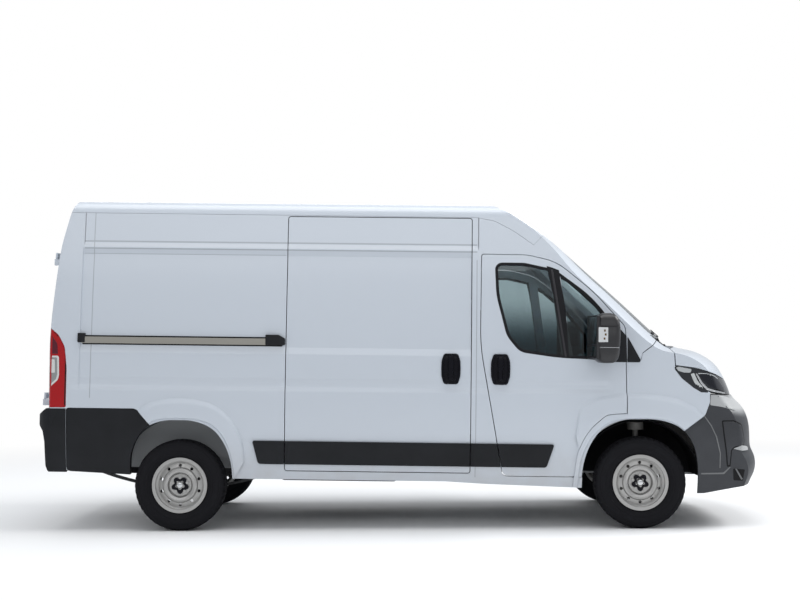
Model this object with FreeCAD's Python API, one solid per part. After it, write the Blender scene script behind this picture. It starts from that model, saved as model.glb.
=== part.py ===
"""Panel van with a medium wheelbase and a high roof, standing empty on its wheels.

X points to the front, Y to the van's left side and Z up, in millimetres.
The origin is on the ground under the middle of the van. The body is drawn
level in its own frame and then tipped nose down by its rake, as the empty
van stands. Wheels and knuckles are drawn upright in the ground's frame.
"""
import FreeCAD, Part
import math
import os
from FreeCAD import Vector

os.makedirs("parts", exist_ok=True)

# Stance
WHEELBASE = 3450.0
REAR_AXLE_X = -1691.5
TRACK_FRONT = 1810.0
TRACK_REAR = 1790.0
RAKE = 1.12
KINGPIN_Y = 765.0

# Tyre 215/70 R15 on a steel wheel
TYRE_RADIUS = 340.0
TYRE_WIDTH = 216.0
TYRE_CORNER = 34.0
BEAD_HALF = 70.0
RIM_RADIUS = 190.5
RIM_LIP = 17.0
RIM_HALF = 84.0
WHEEL_FACE = 62.0
HOLE_COUNT = 10
HOLE_RING = 147.0
HOLE_RADIUS = 12.0
MOUNT_DEPTH = 24.0
NUT_COUNT = 5
NUT_RING = 57.0
NUT_RADIUS = 11.0
DISC_RADIUS = 148.0
DISC_THICK = 24.0

# Body cross-section
BELT_Z = 950.0
BELT_HALF = 1025.0
UPPER_LEAN = 43.0
LOWER_TUCK = 90.0
CORNER_Z = 2350.0
CORNER_RADIUS = 115.0
CROWN_ANGLE = 3.65
WALL = 60.0
ROOF_THICK = 35.0
SHEET = 20.0
SEAM = 6.0
SEAT_GAP = 0.3

# Glass
GLASS_DEPTH = 10.0
GLASS_THICK = 6.0

# Plan rounding of the nose and of the tail
NOSE_HALF = 1120.0
TAIL_HALF = 1060.0
TAIL_SETBACK = 200.0
TAIL_POWER = 6.0
CROWN_DROP = 27.0
CROWN_AT = 850.0

# Floor
FLOOR_TOP = 540.0
FLOOR_THICK = 35.0
SILL_Z = 355.0
FRONT_LINER = 455.0
REAR_LINER = 505.0
LINER_THICK = 7.0
ROOF_LINE = 2357.0

# Doors
REAR_DOOR_HALF = 905.0
REAR_DOOR_BOTTOM = 560.0
REAR_DOOR_TOP = 2351.0
REAR_DOOR_DROP = 4.0
REAR_HINGE_X = -2748.0
REAR_HINGE_FOOT = 700.0
REAR_HINGE_LEAN = 3.5
REAR_HINGE_Y = 925.0
REAR_HINGE_HEIGHTS = (940.0, 2000.0)
REAR_BARREL_RADIUS = 9.0
REAR_BARREL_HALF = 48.0
REAR_CORNER_Y = 956.0
SLIDE_REAR = -905.0
SLIDE_FRONT = 486.0
SLIDE_BOTTOM = 425.0
SLIDE_TOP = 2343.0

# Bonnet hinges, one near each wing
BONNET_HINGE_X = 1962.0
BONNET_HINGE_Y = 790.0
BONNET_HINGE_Z = 1402.0
BONNET_KNUCKLE = 9.0
BONNET_PIN = 5.0
BONNET_PIN_PLAY = 0.4
BONNET_LEAF = 8.0

# Side panel pressed in by two steps: a ledge low down and a recess above the waist
LEDGE_Z = 1026.0
LEDGE_SLOPE = 30.0
LEDGE_DEPTH = 5.0
RECESS_DEPTH = 12.0
RECESS_REAR = -2457.0
RECESS_LOW = 1300.0
RECESS_HIGH = 2090.0
RECESS_SLOPE = 50.0

STRIP_LOW = 475.0
STRIP_HIGH = 650.0
STRIP_THICK = 20.0
RAIL_LOW = 1366.0
RAIL_HIGH = 1415.0
RAIL_PROUD = 12.0

# Roof-rack holes and towing eye
RACK_PLACES = (-2000.0, -300.0)
RACK_Y = 760.0
RACK_PAD_RADIUS = 20.0
RACK_PAD_RISE = 3.0
RACK_HOLE_RADIUS = 4.0
RACK_HOLE_DEPTH = 25.0
TOW_Y = 445.0
TOW_Z = 421.0
TOW_TUBE_RADIUS = 18.0
TOW_HOLE_RADIUS = 9.0
TOW_HOLE_DEPTH = 60.0
TOW_MOUTH_X = 2570.0
TOW_BRACKET_HALF = 25.0

# Seats and driving place
DRIVER_Y = 470.0
SEAT_HALF = 245.0
SEAT_FRONT = 1130.0
SEAT_REAR = 640.0
SEAT_BASE_TOP = 800.0
CUSHION_TOP = 930.0
BACK_TOP = 1490.0
HEADREST_TOP = 1680.0

# Nose profile at the middle: x, z, setback at the side and roundness in plan
NOSE = (
    (520, 2500, 120, 2.2),
    (715, 2474, 200, 2.2),
    (817, 2437, 210, 2.2),
    (921, 2380, 220, 2.2),
    (1025, 2316, 240, 2.2),
    (1127, 2244, 280, 2.2),
    (1240, 2158, 330, 2.2),
    (1429, 2000, 430, 2.2),
    (1684, 1780, 450, 2.2),
    (1871, 1610, 450, 2.2),
    (2030, 1468, 440, 2.2),
    (2134, 1400, 420, 2.2),
    (2262, 1372, 400, 2.3),
    (2360, 1328, 400, 2.4),
    (2440, 1262, 420, 2.5),
    (2500, 1170, 460, 2.5),
    (2536, 1080, 480, 2.6),
    (2555, 980, 500, 2.8),
    (2565, 700, 500, 3.0),
    (2570, 300, 500, 3.0),
)
BUMPER_WALL = 24.0
BUMPER_SPARE = 60.0
# Bumper profile at the middle, in the same terms
BUMPER = (
    (2542, 1070, 480, 2.6),
    (2560, 1030, 480, 2.7),
    (2625, 958, 520, 2.9),
    (2668, 869, 540, 3.0),
    (2686, 716, 550, 3.0),
    (2694, 645, 550, 3.0),
    (2716, 598, 550, 3.0),
    (2718, 465, 550, 3.0),
    (2697, 421, 550, 3.0),
    (2669, 350, 560, 3.0),
    (2630, 270, 560, 3.0),
)
# Tail profile at the middle: x and z
TAIL = (
    (-2380, 2510),
    (-2470, 2482),
    (-2532, 2440),
    (-2572, 2372),
    (-2602, 2270),
    (-2640, 2122),
    (-2672, 1917),
    (-2700, 1672),
    (-2716, 1477),
    (-2720, 1082),
    (-2718, 885),
    (-2712, 300),
)
STATION_HALVES = (0, 350, 650, 820, 920, 990, 1040)

PIVOT = Vector(REAR_AXLE_X + WHEELBASE / 2, 0, TYRE_RADIUS)
FRONT_AXLE_X = REAR_AXLE_X + WHEELBASE


def in_body(x, z):
    """Body-frame x and z of a point given in the ground's frame."""
    turned = Vector(x, 0, z) - PIVOT
    back = FreeCAD.Rotation(Vector(0, 1, 0), -RAKE).multVec(turned)
    return back.x + PIVOT.x, back.z + PIVOT.z


FRONT_HUB_X, FRONT_HUB_Z = in_body(FRONT_AXLE_X, TYRE_RADIUS)
REAR_HUB_X, REAR_HUB_Z = in_body(REAR_AXLE_X, TYRE_RADIUS)


def tipped(shape):
    """The shape turned from the body's frame into the ground's frame."""
    turned = shape.copy()
    turned.rotate(PIVOT, Vector(0, 1, 0), RAKE)
    return turned


def mirrored(shape):
    """The same shape on the other side of the van."""
    return shape.mirror(Vector(0, 0, 0), Vector(0, 1, 0))


def pair(shape):
    """The shape and its mirror image as one compound."""
    return Part.makeCompound([shape, mirrored(shape)])


def save(name, shape):
    """Writes one sub-part, keeping only its solids."""
    solids = shape.Solids
    kept = solids[0] if len(solids) == 1 else Part.makeCompound(solids)
    kept.exportStep("parts/" + name + ".step")


def box(x0, x1, y0, y1, z0, z1):
    """A block between two opposite corners."""
    return Part.makeBox(x1 - x0, y1 - y0, z1 - z0, Vector(x0, y0, z0))


def rod(radius, start, end):
    """A round bar from one point to another."""
    a = Vector(*start)
    b = Vector(*end)
    return Part.makeCylinder(radius, (b - a).Length, a, b - a)


def outline(corners, lift):
    """Closed outline of (u, v, radius) corners, each rounded by its radius."""
    count = len(corners)
    stops = []
    for index in range(count):
        u, v, radius = corners[index]
        here = Vector(u, v, 0)
        before = Vector(corners[index - 1][0], corners[index - 1][1], 0) - here
        after = Vector(corners[(index + 1) % count][0], corners[(index + 1) % count][1], 0) - here
        if radius == 0:
            stops.append((here, here, here))
            continue
        before.normalize()
        after.normalize()
        half = before.getAngle(after) / 2
        reach = radius / math.tan(half)
        inward = before + after
        inward.normalize()
        middle = here + inward * (radius / math.sin(half) - radius)
        stops.append((here + before * reach, middle, here + after * reach))
    edges = []
    for index in range(count):
        start, middle, end = [lift(p.x, p.y) for p in stops[index]]
        if corners[index][2] > 0:
            edges.append(Part.Arc(start, middle, end).toShape())
        following = stops[(index + 1) % count][0]
        target = lift(following.x, following.y)
        if (target - end).Length > 0.001:
            edges.append(Part.LineSegment(end, target).toShape())
    return Part.Wire(edges)


def grown(wire, distance):
    """A face inside the outline, grown outwards or shrunk by a distance."""
    face = Part.Face(wire)
    if distance == 0:
        return face
    return face.makeOffset2D(distance)


def side_prism(corners, y0, y1, distance=0.0):
    """A prism across the van from an outline in side view (x, z, radius)."""
    wire = outline(corners, lambda u, v: Vector(u, y0, v))
    return grown(wire, distance).extrude(Vector(0, y1 - y0, 0))


def front_prism(corners, x0, x1, distance=0.0):
    """A prism along the van from an outline in front view (y, z, radius)."""
    wire = outline(corners, lambda u, v: Vector(x0, u, v))
    return grown(wire, distance).extrude(Vector(x1 - x0, 0, 0))


def plan_prism(corners, z0, z1, distance=0.0):
    """An upright prism from an outline in plan (x, y, radius)."""
    wire = outline(corners, lambda u, v: Vector(u, v, z0))
    return grown(wire, distance).extrude(Vector(0, 0, z1 - z0))


def fused(shapes):
    """All the shapes joined into one."""
    joined = shapes[0]
    if len(shapes) > 1:
        joined = joined.fuse(shapes[1:])
    return joined.removeSplitter()


def side_y(z):
    """Half width of the body at a height."""
    if z > BELT_Z:
        return BELT_HALF - UPPER_LEAN * ((z - BELT_Z) / 1000) ** 2
    return BELT_HALF - LOWER_TUCK * ((BELT_Z - z) / 650) ** 2


def spline(points):
    """A smooth curve through the points."""
    curve = Part.BSplineCurve()
    curve.interpolate(points)
    return curve


def section_bar(inset, x0=-2900.0, x1=2900.0):
    """The body's cross-section drawn in by an inset and run the length of the van."""
    heights = (250, 400, 600, 800, 950, 1150, 1400, 1700, 2050)
    lean = math.atan(2 * UPPER_LEAN * (CORNER_Z - BELT_Z) / 1e6)
    crown = math.radians(CROWN_ANGLE)
    base = Vector(0, side_y(CORNER_Z), CORNER_Z)
    centre = base - Vector(0, math.cos(lean), math.sin(lean)) * CORNER_RADIUS
    radius = CORNER_RADIUS - inset

    def on_corner(angle):
        return centre + Vector(0, math.cos(angle), math.sin(angle)) * radius

    start = on_corner(lean)
    middle = on_corner((lean + math.pi / 2 - crown) / 2)
    end = on_corner(math.pi / 2 - crown)
    top = Vector(0, 0, end.z + end.y * math.tan(crown / 2))
    left = [Vector(0, side_y(z) - inset, z) for z in heights] + [start]

    def flip(p):
        return Vector(p.x, -p.y, p.z)

    right = [flip(p) for p in left]
    wire = Part.Wire([
        spline(left).toShape(),
        Part.Arc(start, middle, end).toShape(),
        Part.Arc(end, top, flip(end)).toShape(),
        Part.Arc(flip(end), flip(middle), flip(start)).toShape(),
        spline(list(reversed(right))).toShape(),
        Part.LineSegment(right[0], left[0]).toShape(),
    ])
    face = Part.Face(wire)
    face.translate(Vector(x0, 0, 0))
    return face.extrude(Vector(x1 - x0, 0, 0))


def plan_round(y, half, power):
    """How far a rounded plan line has fallen back at y, as a share of its setback."""
    share = abs(y) / half
    return 1 - (1 - share ** power) ** (1 / power)


def crown_drop(y):
    """How far the nose and the brow fall towards the side."""
    return CROWN_DROP * (y / CROWN_AT) ** 2


def inset_curve(points, inset):
    """A smooth curve through the points, moved by an inset to its right-hand side."""
    curve = spline(points)
    if inset == 0:
        return curve, points
    moved = []
    for point in points:
        tangent = curve.tangent(curve.parameter(point))[0]
        moved.append(point + Vector(tangent.z, 0, -tangent.x) * inset)
    return spline(moved), moved


def nose_points(profile, y):
    """The nose profile at a distance from the middle."""
    points = []
    for x, z, setback, power in profile:
        points.append(Vector(x - setback * plan_round(y, NOSE_HALF, power), y, z - crown_drop(y)))
    return points


def tail_points(y):
    """The tail profile at a distance from the middle, from the bottom up."""
    back = TAIL_SETBACK * plan_round(y, TAIL_HALF, TAIL_POWER)
    return [Vector(x + back, y, z) for x, z in reversed(TAIL)]


def station(y, inset):
    """Closed side-view outline of the whole body at a distance from the middle."""
    nose, nose_ends = inset_curve(nose_points(NOSE, y), inset)
    tail, tail_ends = inset_curve(tail_points(y), inset)
    return Part.Wire([
        nose.toShape(),
        Part.LineSegment(nose_ends[-1], tail_ends[0]).toShape(),
        tail.toShape(),
        Part.LineSegment(tail_ends[-1], nose_ends[0]).toShape(),
    ])


def stations():
    """The distances from the middle where the body is drawn."""
    return sorted(set([-y for y in STATION_HALVES] + list(STATION_HALVES)))


def body_form(inset):
    """The whole body as a solid, drawn in by an inset on every side but the bottom."""
    lofted = Part.makeLoft([station(y, inset) for y in stations()], True, False)
    return lofted.common(section_bar(inset))


def layer(profile, depth, inner_depth, half=1040.0):
    """A curved sheet under the nose's surface, from one depth to another."""
    wires = []
    for y in stations():
        if abs(y) > half:
            continue
        outer, outer_ends = inset_curve(nose_points(profile, y), depth)
        inner, inner_ends = inset_curve(nose_points(profile, y), inner_depth)
        wires.append(Part.Wire([
            outer.toShape(),
            Part.LineSegment(outer_ends[-1], inner_ends[-1]).toShape(),
            inner.toShape(),
            Part.LineSegment(inner_ends[0], outer_ends[0]).toShape(),
        ]))
    return Part.makeLoft(wires, True, False)


# Outlines in side view, shared by the pieces that meet along them
CAB_DOOR = (
    (558, 2071, 18), (553, 1380, 1500), (730, 407, 50), (1270, 407, 20),
    (1286, 570, 480), (1334, 700, 420), (1430, 822, 330), (1530, 889, 150), (1648, 889, 15),
    (1637, 1535, 90), (1400, 1795, 1200), (1120, 2020, 400), (900, 2069, 400),
)
CAB_WINDOW = (
    (660, 2006, 50), (672, 1760, 600), (752, 1455, 200), (850, 1338, 120),
    (1130, 1300, 1500), (1592, 1282, 25), (1588, 1500, 60), (1384, 1757, 900),
    (1109, 1958, 120), (881, 2006, 200),
)
WINDOW_BAR = ((1050, 2100, 0), (1121, 2100, 0), (1245, 1250, 0), (1174, 1250, 0))
SLIDING_DOOR = (
    (SLIDE_REAR, SLIDE_BOTTOM, 18), (SLIDE_FRONT, SLIDE_BOTTOM, 18),
    (SLIDE_FRONT, SLIDE_TOP, 18), (SLIDE_REAR, SLIDE_TOP, 18),
)
FRONT_ARCH = (
    (1316, 200, 0), (1325, 480, 600), (1365, 640, 500), (1460, 775, 270),
    (1600, 845, 380), (1900, 850, 500), (2060, 790, 260), (2160, 660, 350),
    (2192, 470, 1100), (2194, 200, 0),
)
REAR_ARCH = (
    (-2079, 200, 0), (-2068, 500, 400), (-2045, 612, 400), (-1960, 742, 230),
    (-1820, 797, 400), (-1590, 797, 400), (-1440, 742, 260), (-1345, 610, 450),
    (-1306, 480, 450), (-1288, 200, 0),
)
HEADLAMP = (
    (2007, 1246, 12), (2165, 1229, 150), (2324, 1182, 150), (2430, 1144, 100),
    (2640, 1112, 0), (2640, 1036, 0), (2431, 1036, 60), (2277, 1052, 60),
    (2208, 1079, 60), (2116, 1148, 60), (2017, 1218, 12),
)
TAIL_LAMP = (
    (-2760, 1482, 0), (-2682, 1476, 30), (-2618, 1425, 100), (-2569, 1335, 100),
    (-2551, 1180, 400), (-2551, 883, 12), (-2760, 881, 0),
)
REAR_SIDE_PANEL = (
    (-2546, 402, 30), (-1880, 372, 0), (-1880, 720, 0), (-1925, 761, 30),
    (-2022, 877, 60), (-2546, 877, 20),
)
ROOF_ZONE = (
    (-2900, ROOF_LINE, 0), (520, 2350, 400), (660, 2324, 200), (801, 2248, 300),
    (950, 2145, 0), (1060, 2260, 0), (1060, 2700, 0), (-2900, 2700, 0),
)
WALL_ZONE = (
    (-2900, SILL_Z + 5, 0), (300, SILL_Z + 5, 0), (600, 345, 300), (1325, 325, 0),
    (1325, 404, 0), (1200, 404, 0), (1200, 1000, 0), (1640, 1000, 0),
    (1640, 1292, 0), (1752, 1292, 0), (1764, 1343, 0), (1884, 1436, 0),
    (1960, 1500, 0), (1960, 1600, 0), (1060, 2400, 0), (1060, 2700, 0), (-2900, 2700, 0),
)
WING_ZONE = (
    (1200, 408, 0), (1400, 408, 0), (1600, 700, 0), (2079, 765, 0),
    (2229, 881, 80), (2265, 981, 60), (2265, 1046, 0), (2280, 1100, 0),
    (2100, 1210, 0), (2005, 1243, 0), (1997, 1363, 0), (1984, 1520, 0), (1968, 1520, 0),
    (1968, 1498, 0), (1888, 1431, 0), (1766, 1337, 0), (1754, 1286, 0), (1200, 1286, 0),
)
BONNET_ZONE = (
    (1990, 1560, 0), (2004, 1364, 0), (2012, 1253, 0), (2165, 1235, 150),
    (2326, 1188, 150), (2432, 1150, 100), (2700, 1104, 0), (2700, 1560, 0),
)
BUMPER_ZONE = (
    (2000, 765, 0), (2079, 765, 0), (2229, 881, 80), (2265, 981, 60),
    (2265, 1046, 0), (2431, 1032, 0), (2800, 1032, 0), (2800, 360, 0), (2560, 358, 0),
    (2440, 335, 0), (2240, 294, 0), (2000, 290, 0),
)
REAR_ZONE = (
    (-2900, 200, 0), (-2652, 200, 0), (-2656, 1082, 0), (-2652, 1477, 0), (-2636, 1672, 0),
    (-2608, 1917, 0), (-2575, 2122, 0), (-2537, 2270, 0), (-2496, 2400, 0), (-2900, 2400, 0),
)
WINDSCREEN = (
    (-848, 1450, 60), (0, 1484, 8000), (848, 1450, 60),
    (752, 2330, 90), (0, 2386, 6000), (-752, 2330, 90),
)


def plan_line(x, setback, power, half):
    """Points of a rounded plan line across the van, from right to left."""
    points = []
    for step in range(-6, 7):
        y = half * step / 6
        points.append((x - setback * plan_round(y, NOSE_HALF, power), y))
    return points


def ahead_of(x, setback, power, z0, z1):
    """Everything ahead of a rounded plan line."""
    line = [Vector(px, py, z0) for px, py in plan_line(x, setback, power, 1080.0)]
    front_left = Vector(3000, 1080, z0)
    front_right = Vector(3000, -1080, z0)
    wire = Part.Wire([
        spline(line).toShape(),
        Part.LineSegment(line[-1], front_left).toShape(),
        Part.LineSegment(front_left, front_right).toShape(),
        Part.LineSegment(front_right, line[0]).toShape(),
    ])
    return Part.Face(wire).extrude(Vector(0, 0, z1 - z0))


OUTER = body_form(0.0)
SHEET_INSIDE = body_form(SHEET)
ROOF_INSIDE = body_form(ROOF_THICK)
WALL_INSIDE = body_form(WALL)
CLEAR_INSIDE = body_form(WALL + SEAT_GAP)
SKIN = OUTER.cut(WALL_INSIDE)
HALF_SPACE = box(-3000, 3000, -1200, 0, 0, 2700)
HALF_SKIN = SKIN.common(HALF_SPACE)
HALF_WING = OUTER.common(box(1150, 2400, -1100, -600, 300, 1600)).cut(SHEET_INSIDE)
NOSE_SHEET = layer(NOSE[9:], 0.0, SHEET)
COWL = ahead_of(2124, 420, 2.2, 1000, 1700)


def window_panes(distance):
    """The two openings of the right cab door's window, grown by a distance."""
    whole = side_prism(CAB_WINDOW, -1100, -800, distance)
    bar = side_prism(WINDOW_BAR, -1110, -790, -distance)
    return whole.cut(bar)


def recess_tool():
    """What is pressed in along the right side, in two steps between sill and roof."""
    low_inner = RECESS_LOW + RECESS_SLOPE
    high_inner = RECESS_HIGH - RECESS_SLOPE
    steps = (
        (LEDGE_Z, 0.0), (LEDGE_Z + LEDGE_SLOPE, LEDGE_DEPTH), (RECESS_LOW, LEDGE_DEPTH),
        (low_inner, RECESS_DEPTH), (high_inner, RECESS_DEPTH), (RECESS_HIGH, 0.0),
    )
    edges = []
    for (z0, depth0), (z1, depth1) in zip(steps, steps[1:]):
        run = []
        for part in range(4):
            share = part / 3
            z = z0 + (z1 - z0) * share
            run.append(Vector(RECESS_REAR, -side_y(z) + depth0 + (depth1 - depth0) * share, z))
        edges.append(spline(run).toShape())
    low = Vector(RECESS_REAR, -side_y(LEDGE_Z), LEDGE_Z)
    high = Vector(RECESS_REAR, -side_y(RECESS_HIGH), RECESS_HIGH)
    far_high = Vector(RECESS_REAR, -1100, RECESS_HIGH)
    far_low = Vector(RECESS_REAR, -1100, LEDGE_Z)
    edges.append(Part.LineSegment(high, far_high).toShape())
    edges.append(Part.LineSegment(far_high, far_low).toShape())
    edges.append(Part.LineSegment(far_low, low).toShape())
    return Part.Face(Part.Wire(edges)).extrude(Vector(SLIDE_FRONT + SEAM / 2 - RECESS_REAR, 0, 0))


RECESS = recess_tool()
WINDSCREEN_CUT = front_prism(WINDSCREEN, 700, 2300)
SCUTTLE_HALF = 872.0
SCUTTLE_SUNK = 26.0
SCUTTLE_LAP = 20.0
SCUTTLE_CUT = box(1600, 2300, -SCUTTLE_HALF, SCUTTLE_HALF, 1100, 1478)


def rear_door_corners(distance):
    """Rear view outline of the right rear door."""
    return (
        (-REAR_DOOR_HALF - distance, REAR_DOOR_BOTTOM - distance, 40), (SEAM, REAR_DOOR_BOTTOM - distance, 0),
        (SEAM, REAR_DOOR_TOP + distance, 0), (-REAR_DOOR_HALF - distance, REAR_DOOR_TOP + distance, 60),
    )


def rear_door_block(distance):
    """The room of the right rear door, grown by a distance."""
    block = front_prism(rear_door_corners(distance), -2900, -2400)
    return block.common(side_prism(REAR_ZONE, -1000, SEAM, distance))


def rear_bumper_block():
    """The rear bumper's outer shape, rounded in plan, over the body's corners."""
    plan = ((-2550, -1030, 0), (-2550, 1030, 0), (-2775, 1004, 110), (-2775, -1004, 110))
    profile = (
        (-2550, 394, 0), (-2691, 394, 20), (-2707, 439, 40), (-2711, 628, 60),
        (-2728, 703, 40), (-2763, 748, 20), (-2765, 824, 20), (-2700, 874, 20), (-2550, 874, 0),
    )
    block = plan_prism(plan, 390, 880).common(side_prism(profile, -1100, 1100))
    return block.common(section_bar(-1.5))


def rear_bumper_shell():
    """The rear bumper's moulding: wrapped corners and a step between them."""
    body_corner = OUTER.common(box(-2760, -2550, -1100, 1100, 394, 874))
    corners = rear_bumper_block().fuse(body_corner).cut([
        SHEET_INSIDE, box(-3000, -2400, -REAR_CORNER_Y, REAR_CORNER_Y, 549, 900),
    ])
    step = box(-2800, -2656, -900, 900, 380, 549).common(rear_bumper_block())
    step = step.cut(box(-2688, -2600, -880, 880, 370, 524))
    return fused([corners, step])


REAR_BUMPER = rear_bumper_shell()
REAR_OPENING = rear_door_block(SEAM)


def plain_side_wall():
    """The right side's wall with the cab door's opening and no sliding door."""
    wall = HALF_SKIN.common(side_prism(WALL_ZONE, -1100, -600))
    return wall.cut([
        side_prism(ROOF_ZONE, -1110, -500, 1.0),
        side_prism(CAB_DOOR, -1110, -590, SEAM / 2),
        side_prism(REAR_ARCH, -1110, -590),
        side_prism(REAR_SIDE_PANEL, -1110, -590, 3.0),
        box(-2900, -1880, -1110, -590, 300, 410),
        box(-2900, -2400, -REAR_DOOR_HALF - SEAM, 0, 300, REAR_DOOR_BOTTOM),
        side_prism(TAIL_LAMP, -1110, -REAR_CORNER_Y, 2.0),
        REAR_OPENING,
        REAR_BUMPER,
        WINDSCREEN_CUT,
        SCUTTLE_CUT,
        RECESS,
    ])


def side_walls():
    """The two side walls, the right one with the sliding door's opening."""
    plain = plain_side_wall()
    save("side_wall_left", tipped(mirrored(plain)))
    opened = plain.cut(side_prism(SLIDING_DOOR, -1110, -700, SEAM / 2))
    save("side_wall_right", tipped(opened))


def crown_z(y):
    """Height of the roof's outer face at a distance from the middle."""
    lean = math.atan(2 * UPPER_LEAN * (CORNER_Z - BELT_Z) / 1e6)
    crown = math.radians(CROWN_ANGLE)
    edge_y = side_y(CORNER_Z) + CORNER_RADIUS * (math.sin(crown) - math.cos(lean))
    edge_z = CORNER_Z + CORNER_RADIUS * (math.cos(crown) - math.sin(lean))
    radius = edge_y / math.sin(crown)
    return edge_z + math.sqrt(radius ** 2 - y ** 2) - radius * math.cos(crown)


def roof():
    """The roof with its brow, its edge over the rear doors and its rack pads."""
    zone = side_prism(ROOF_ZONE, -1100, 1100, -1.0)
    shape = OUTER.cut(ROOF_INSIDE).common(zone).cut(WINDSCREEN_CUT)
    top = crown_z(RACK_Y) + RACK_PAD_RISE
    pads = []
    holes = []
    for x in RACK_PLACES:
        for y in (-RACK_Y, RACK_Y):
            pads.append(rod(RACK_PAD_RADIUS, (x, y, top - 10), (x, y, top)))
            holes.append(rod(RACK_HOLE_RADIUS, (x, y, top - RACK_HOLE_DEPTH), (x, y, top + 1)))
    save("roof", tipped(shape.fuse(pads).cut(holes)))


def windscreen():
    """The bonded windscreen, just inside the line of the pillars."""
    sheet = layer(NOSE[1:14], GLASS_DEPTH, GLASS_DEPTH + GLASS_THICK, 950.0)
    pane = sheet.common(front_prism(WINDSCREEN, 720, 2280, -SEAT_GAP))
    save("windscreen", tipped(pane))


def cab_doors():
    """The hinged cab doors with their split window glass."""
    door = HALF_SKIN.common(side_prism(CAB_DOOR, -1100, -700, -SEAM / 2))
    door = door.cut(window_panes(0.0))
    save("cab_door_right", tipped(door))
    save("cab_door_left", tipped(mirrored(door)))
    sheet = section_bar(GLASS_DEPTH).cut(section_bar(GLASS_DEPTH + GLASS_THICK))
    glass = window_panes(-SEAT_GAP).common(sheet)
    save("cab_glass_right", tipped(glass))
    save("cab_glass_left", tipped(mirrored(glass)))


def side_slab(corners, low, high):
    """A slab on the right side from one height over the skin to another."""
    between = section_bar(-high).cut(section_bar(-low))
    return side_prism(corners, -1200, -700).common(between)


def rounded_box(x0, x1, y0, y1, z0, z1, radius):
    """A block with all its edges rounded."""
    block = box(x0, x1, y0, y1, z0, z1)
    return block.makeFillet(radius, block.Edges)


def strip_corners(x0, x1):
    """Side-view outline of one rub strip."""
    return ((x0, STRIP_LOW, 12), (x1, STRIP_LOW, 12), (x1, STRIP_HIGH, 12), (x0, STRIP_HIGH, 12))


def handle(x0, x1, z0, z1, seat):
    """A pull handle on its oval base plate, which starts at a height over the skin."""
    base = side_slab(((x0, z0, 45), (x1, z0, 45), (x1, z1, 45), (x0, z1, 45)), seat, 9.0)
    middle = (z0 + z1) / 2
    y = -side_y(middle)
    grip = rounded_box(x0 + 22, x1 - 22, y - 34, y - 6, middle - 20, middle + 20, 9)
    return fused([base, grip])


def mirror_right():
    """The right mirror: a tall housing that narrows downwards, on a short arm."""
    shape = (
        (1388, 1300, 45), (1430, 1286, 30), (1520, 1290, 40), (1552, 1345, 60), (1560, 1500, 200),
        (1548, 1590, 60), (1490, 1628, 70), (1410, 1628, 50), (1380, 1560, 80),
    )
    plan = ((1360, -1345, 40), (1600, -1330, 70), (1600, -1075, 60), (1360, -1075, 20))
    housing = side_prism(shape, -1345, -1075).common(plan_prism(plan, 1250, 1650))
    arm = rounded_box(1450, 1575, -1130, -990, 1290, 1345, 20)
    foot = side_slab(((1430, 1266, 20), (1600, 1266, 20), (1600, 1352, 20), (1430, 1352, 20)), SEAT_GAP, 12.0)
    return fused([housing, arm.cut(section_bar(-SEAT_GAP)), foot])


def cab_trims():
    """Mirror, handle and rub strip, which ride on each cab door."""
    ends = ((694, STRIP_LOW, 12), (1056, STRIP_LOW, 25), (1112, STRIP_HIGH, 12), (694, STRIP_HIGH, 12))
    strip = side_slab(ends, SEAT_GAP, STRIP_THICK)
    strip = strip.common(side_prism(CAB_DOOR, -1200, -600, -6.0))
    trim = Part.makeCompound([mirror_right(), handle(633, 776, 1090, 1319, SEAT_GAP), strip])
    save("cab_trim_right", tipped(trim))
    save("cab_trim_left", tipped(mirrored(trim)))


def sliding_panel():
    """The sliding door's panel, shut flush with the wall."""
    return HALF_SKIN.common(side_prism(SLIDING_DOOR, -1100, -700, -SEAM / 2)).cut(RECESS)


def sliding_door():
    """The right side's sliding door."""
    save("sliding_door", tipped(sliding_panel()))


def side_strips():
    """Rub strips of both sides, and the sliding door's handle."""
    ends = ((-1103, STRIP_LOW, 25), (-920, STRIP_LOW, 12), (-920, STRIP_HIGH, 12), (-1147, STRIP_HIGH, 12))
    rear = side_slab(ends, SEAT_GAP, STRIP_THICK)
    rear = rear.cut(side_prism(REAR_ARCH, -1200, -590, 6.0))
    middle = side_slab(strip_corners(SLIDE_REAR + 8, SLIDE_FRONT - 8), SEAT_GAP, STRIP_THICK)
    front = side_slab(strip_corners(SLIDE_FRONT + 8, 760), SEAT_GAP, STRIP_THICK)
    front = front.cut(side_prism(CAB_DOOR, -1200, -590, 6.0))
    pull = handle(266, 403, 1100, 1322, -RECESS_DEPTH).cut(sliding_panel())
    both = Part.makeCompound([pair(rear), pair(middle), pair(front), pull])
    save("side_strips", tipped(both))


def door_rail():
    """The sliding door's outer runner rail on the right side."""
    corners = ((-2452, RAIL_LOW, 20), (-911, RAIL_LOW, 20), (-911, RAIL_HIGH, 20), (-2452, RAIL_HIGH, 20))
    save("door_rail", tipped(side_slab(corners, SEAT_GAP - RECESS_DEPTH, RAIL_PROUD)))


def rear_hinge_x(z):
    """Where the rear doors' leaning hinge line stands at a height."""
    return REAR_HINGE_X + (z - REAR_HINGE_FOOT) * math.tan(math.radians(REAR_HINGE_LEAN))


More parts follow.
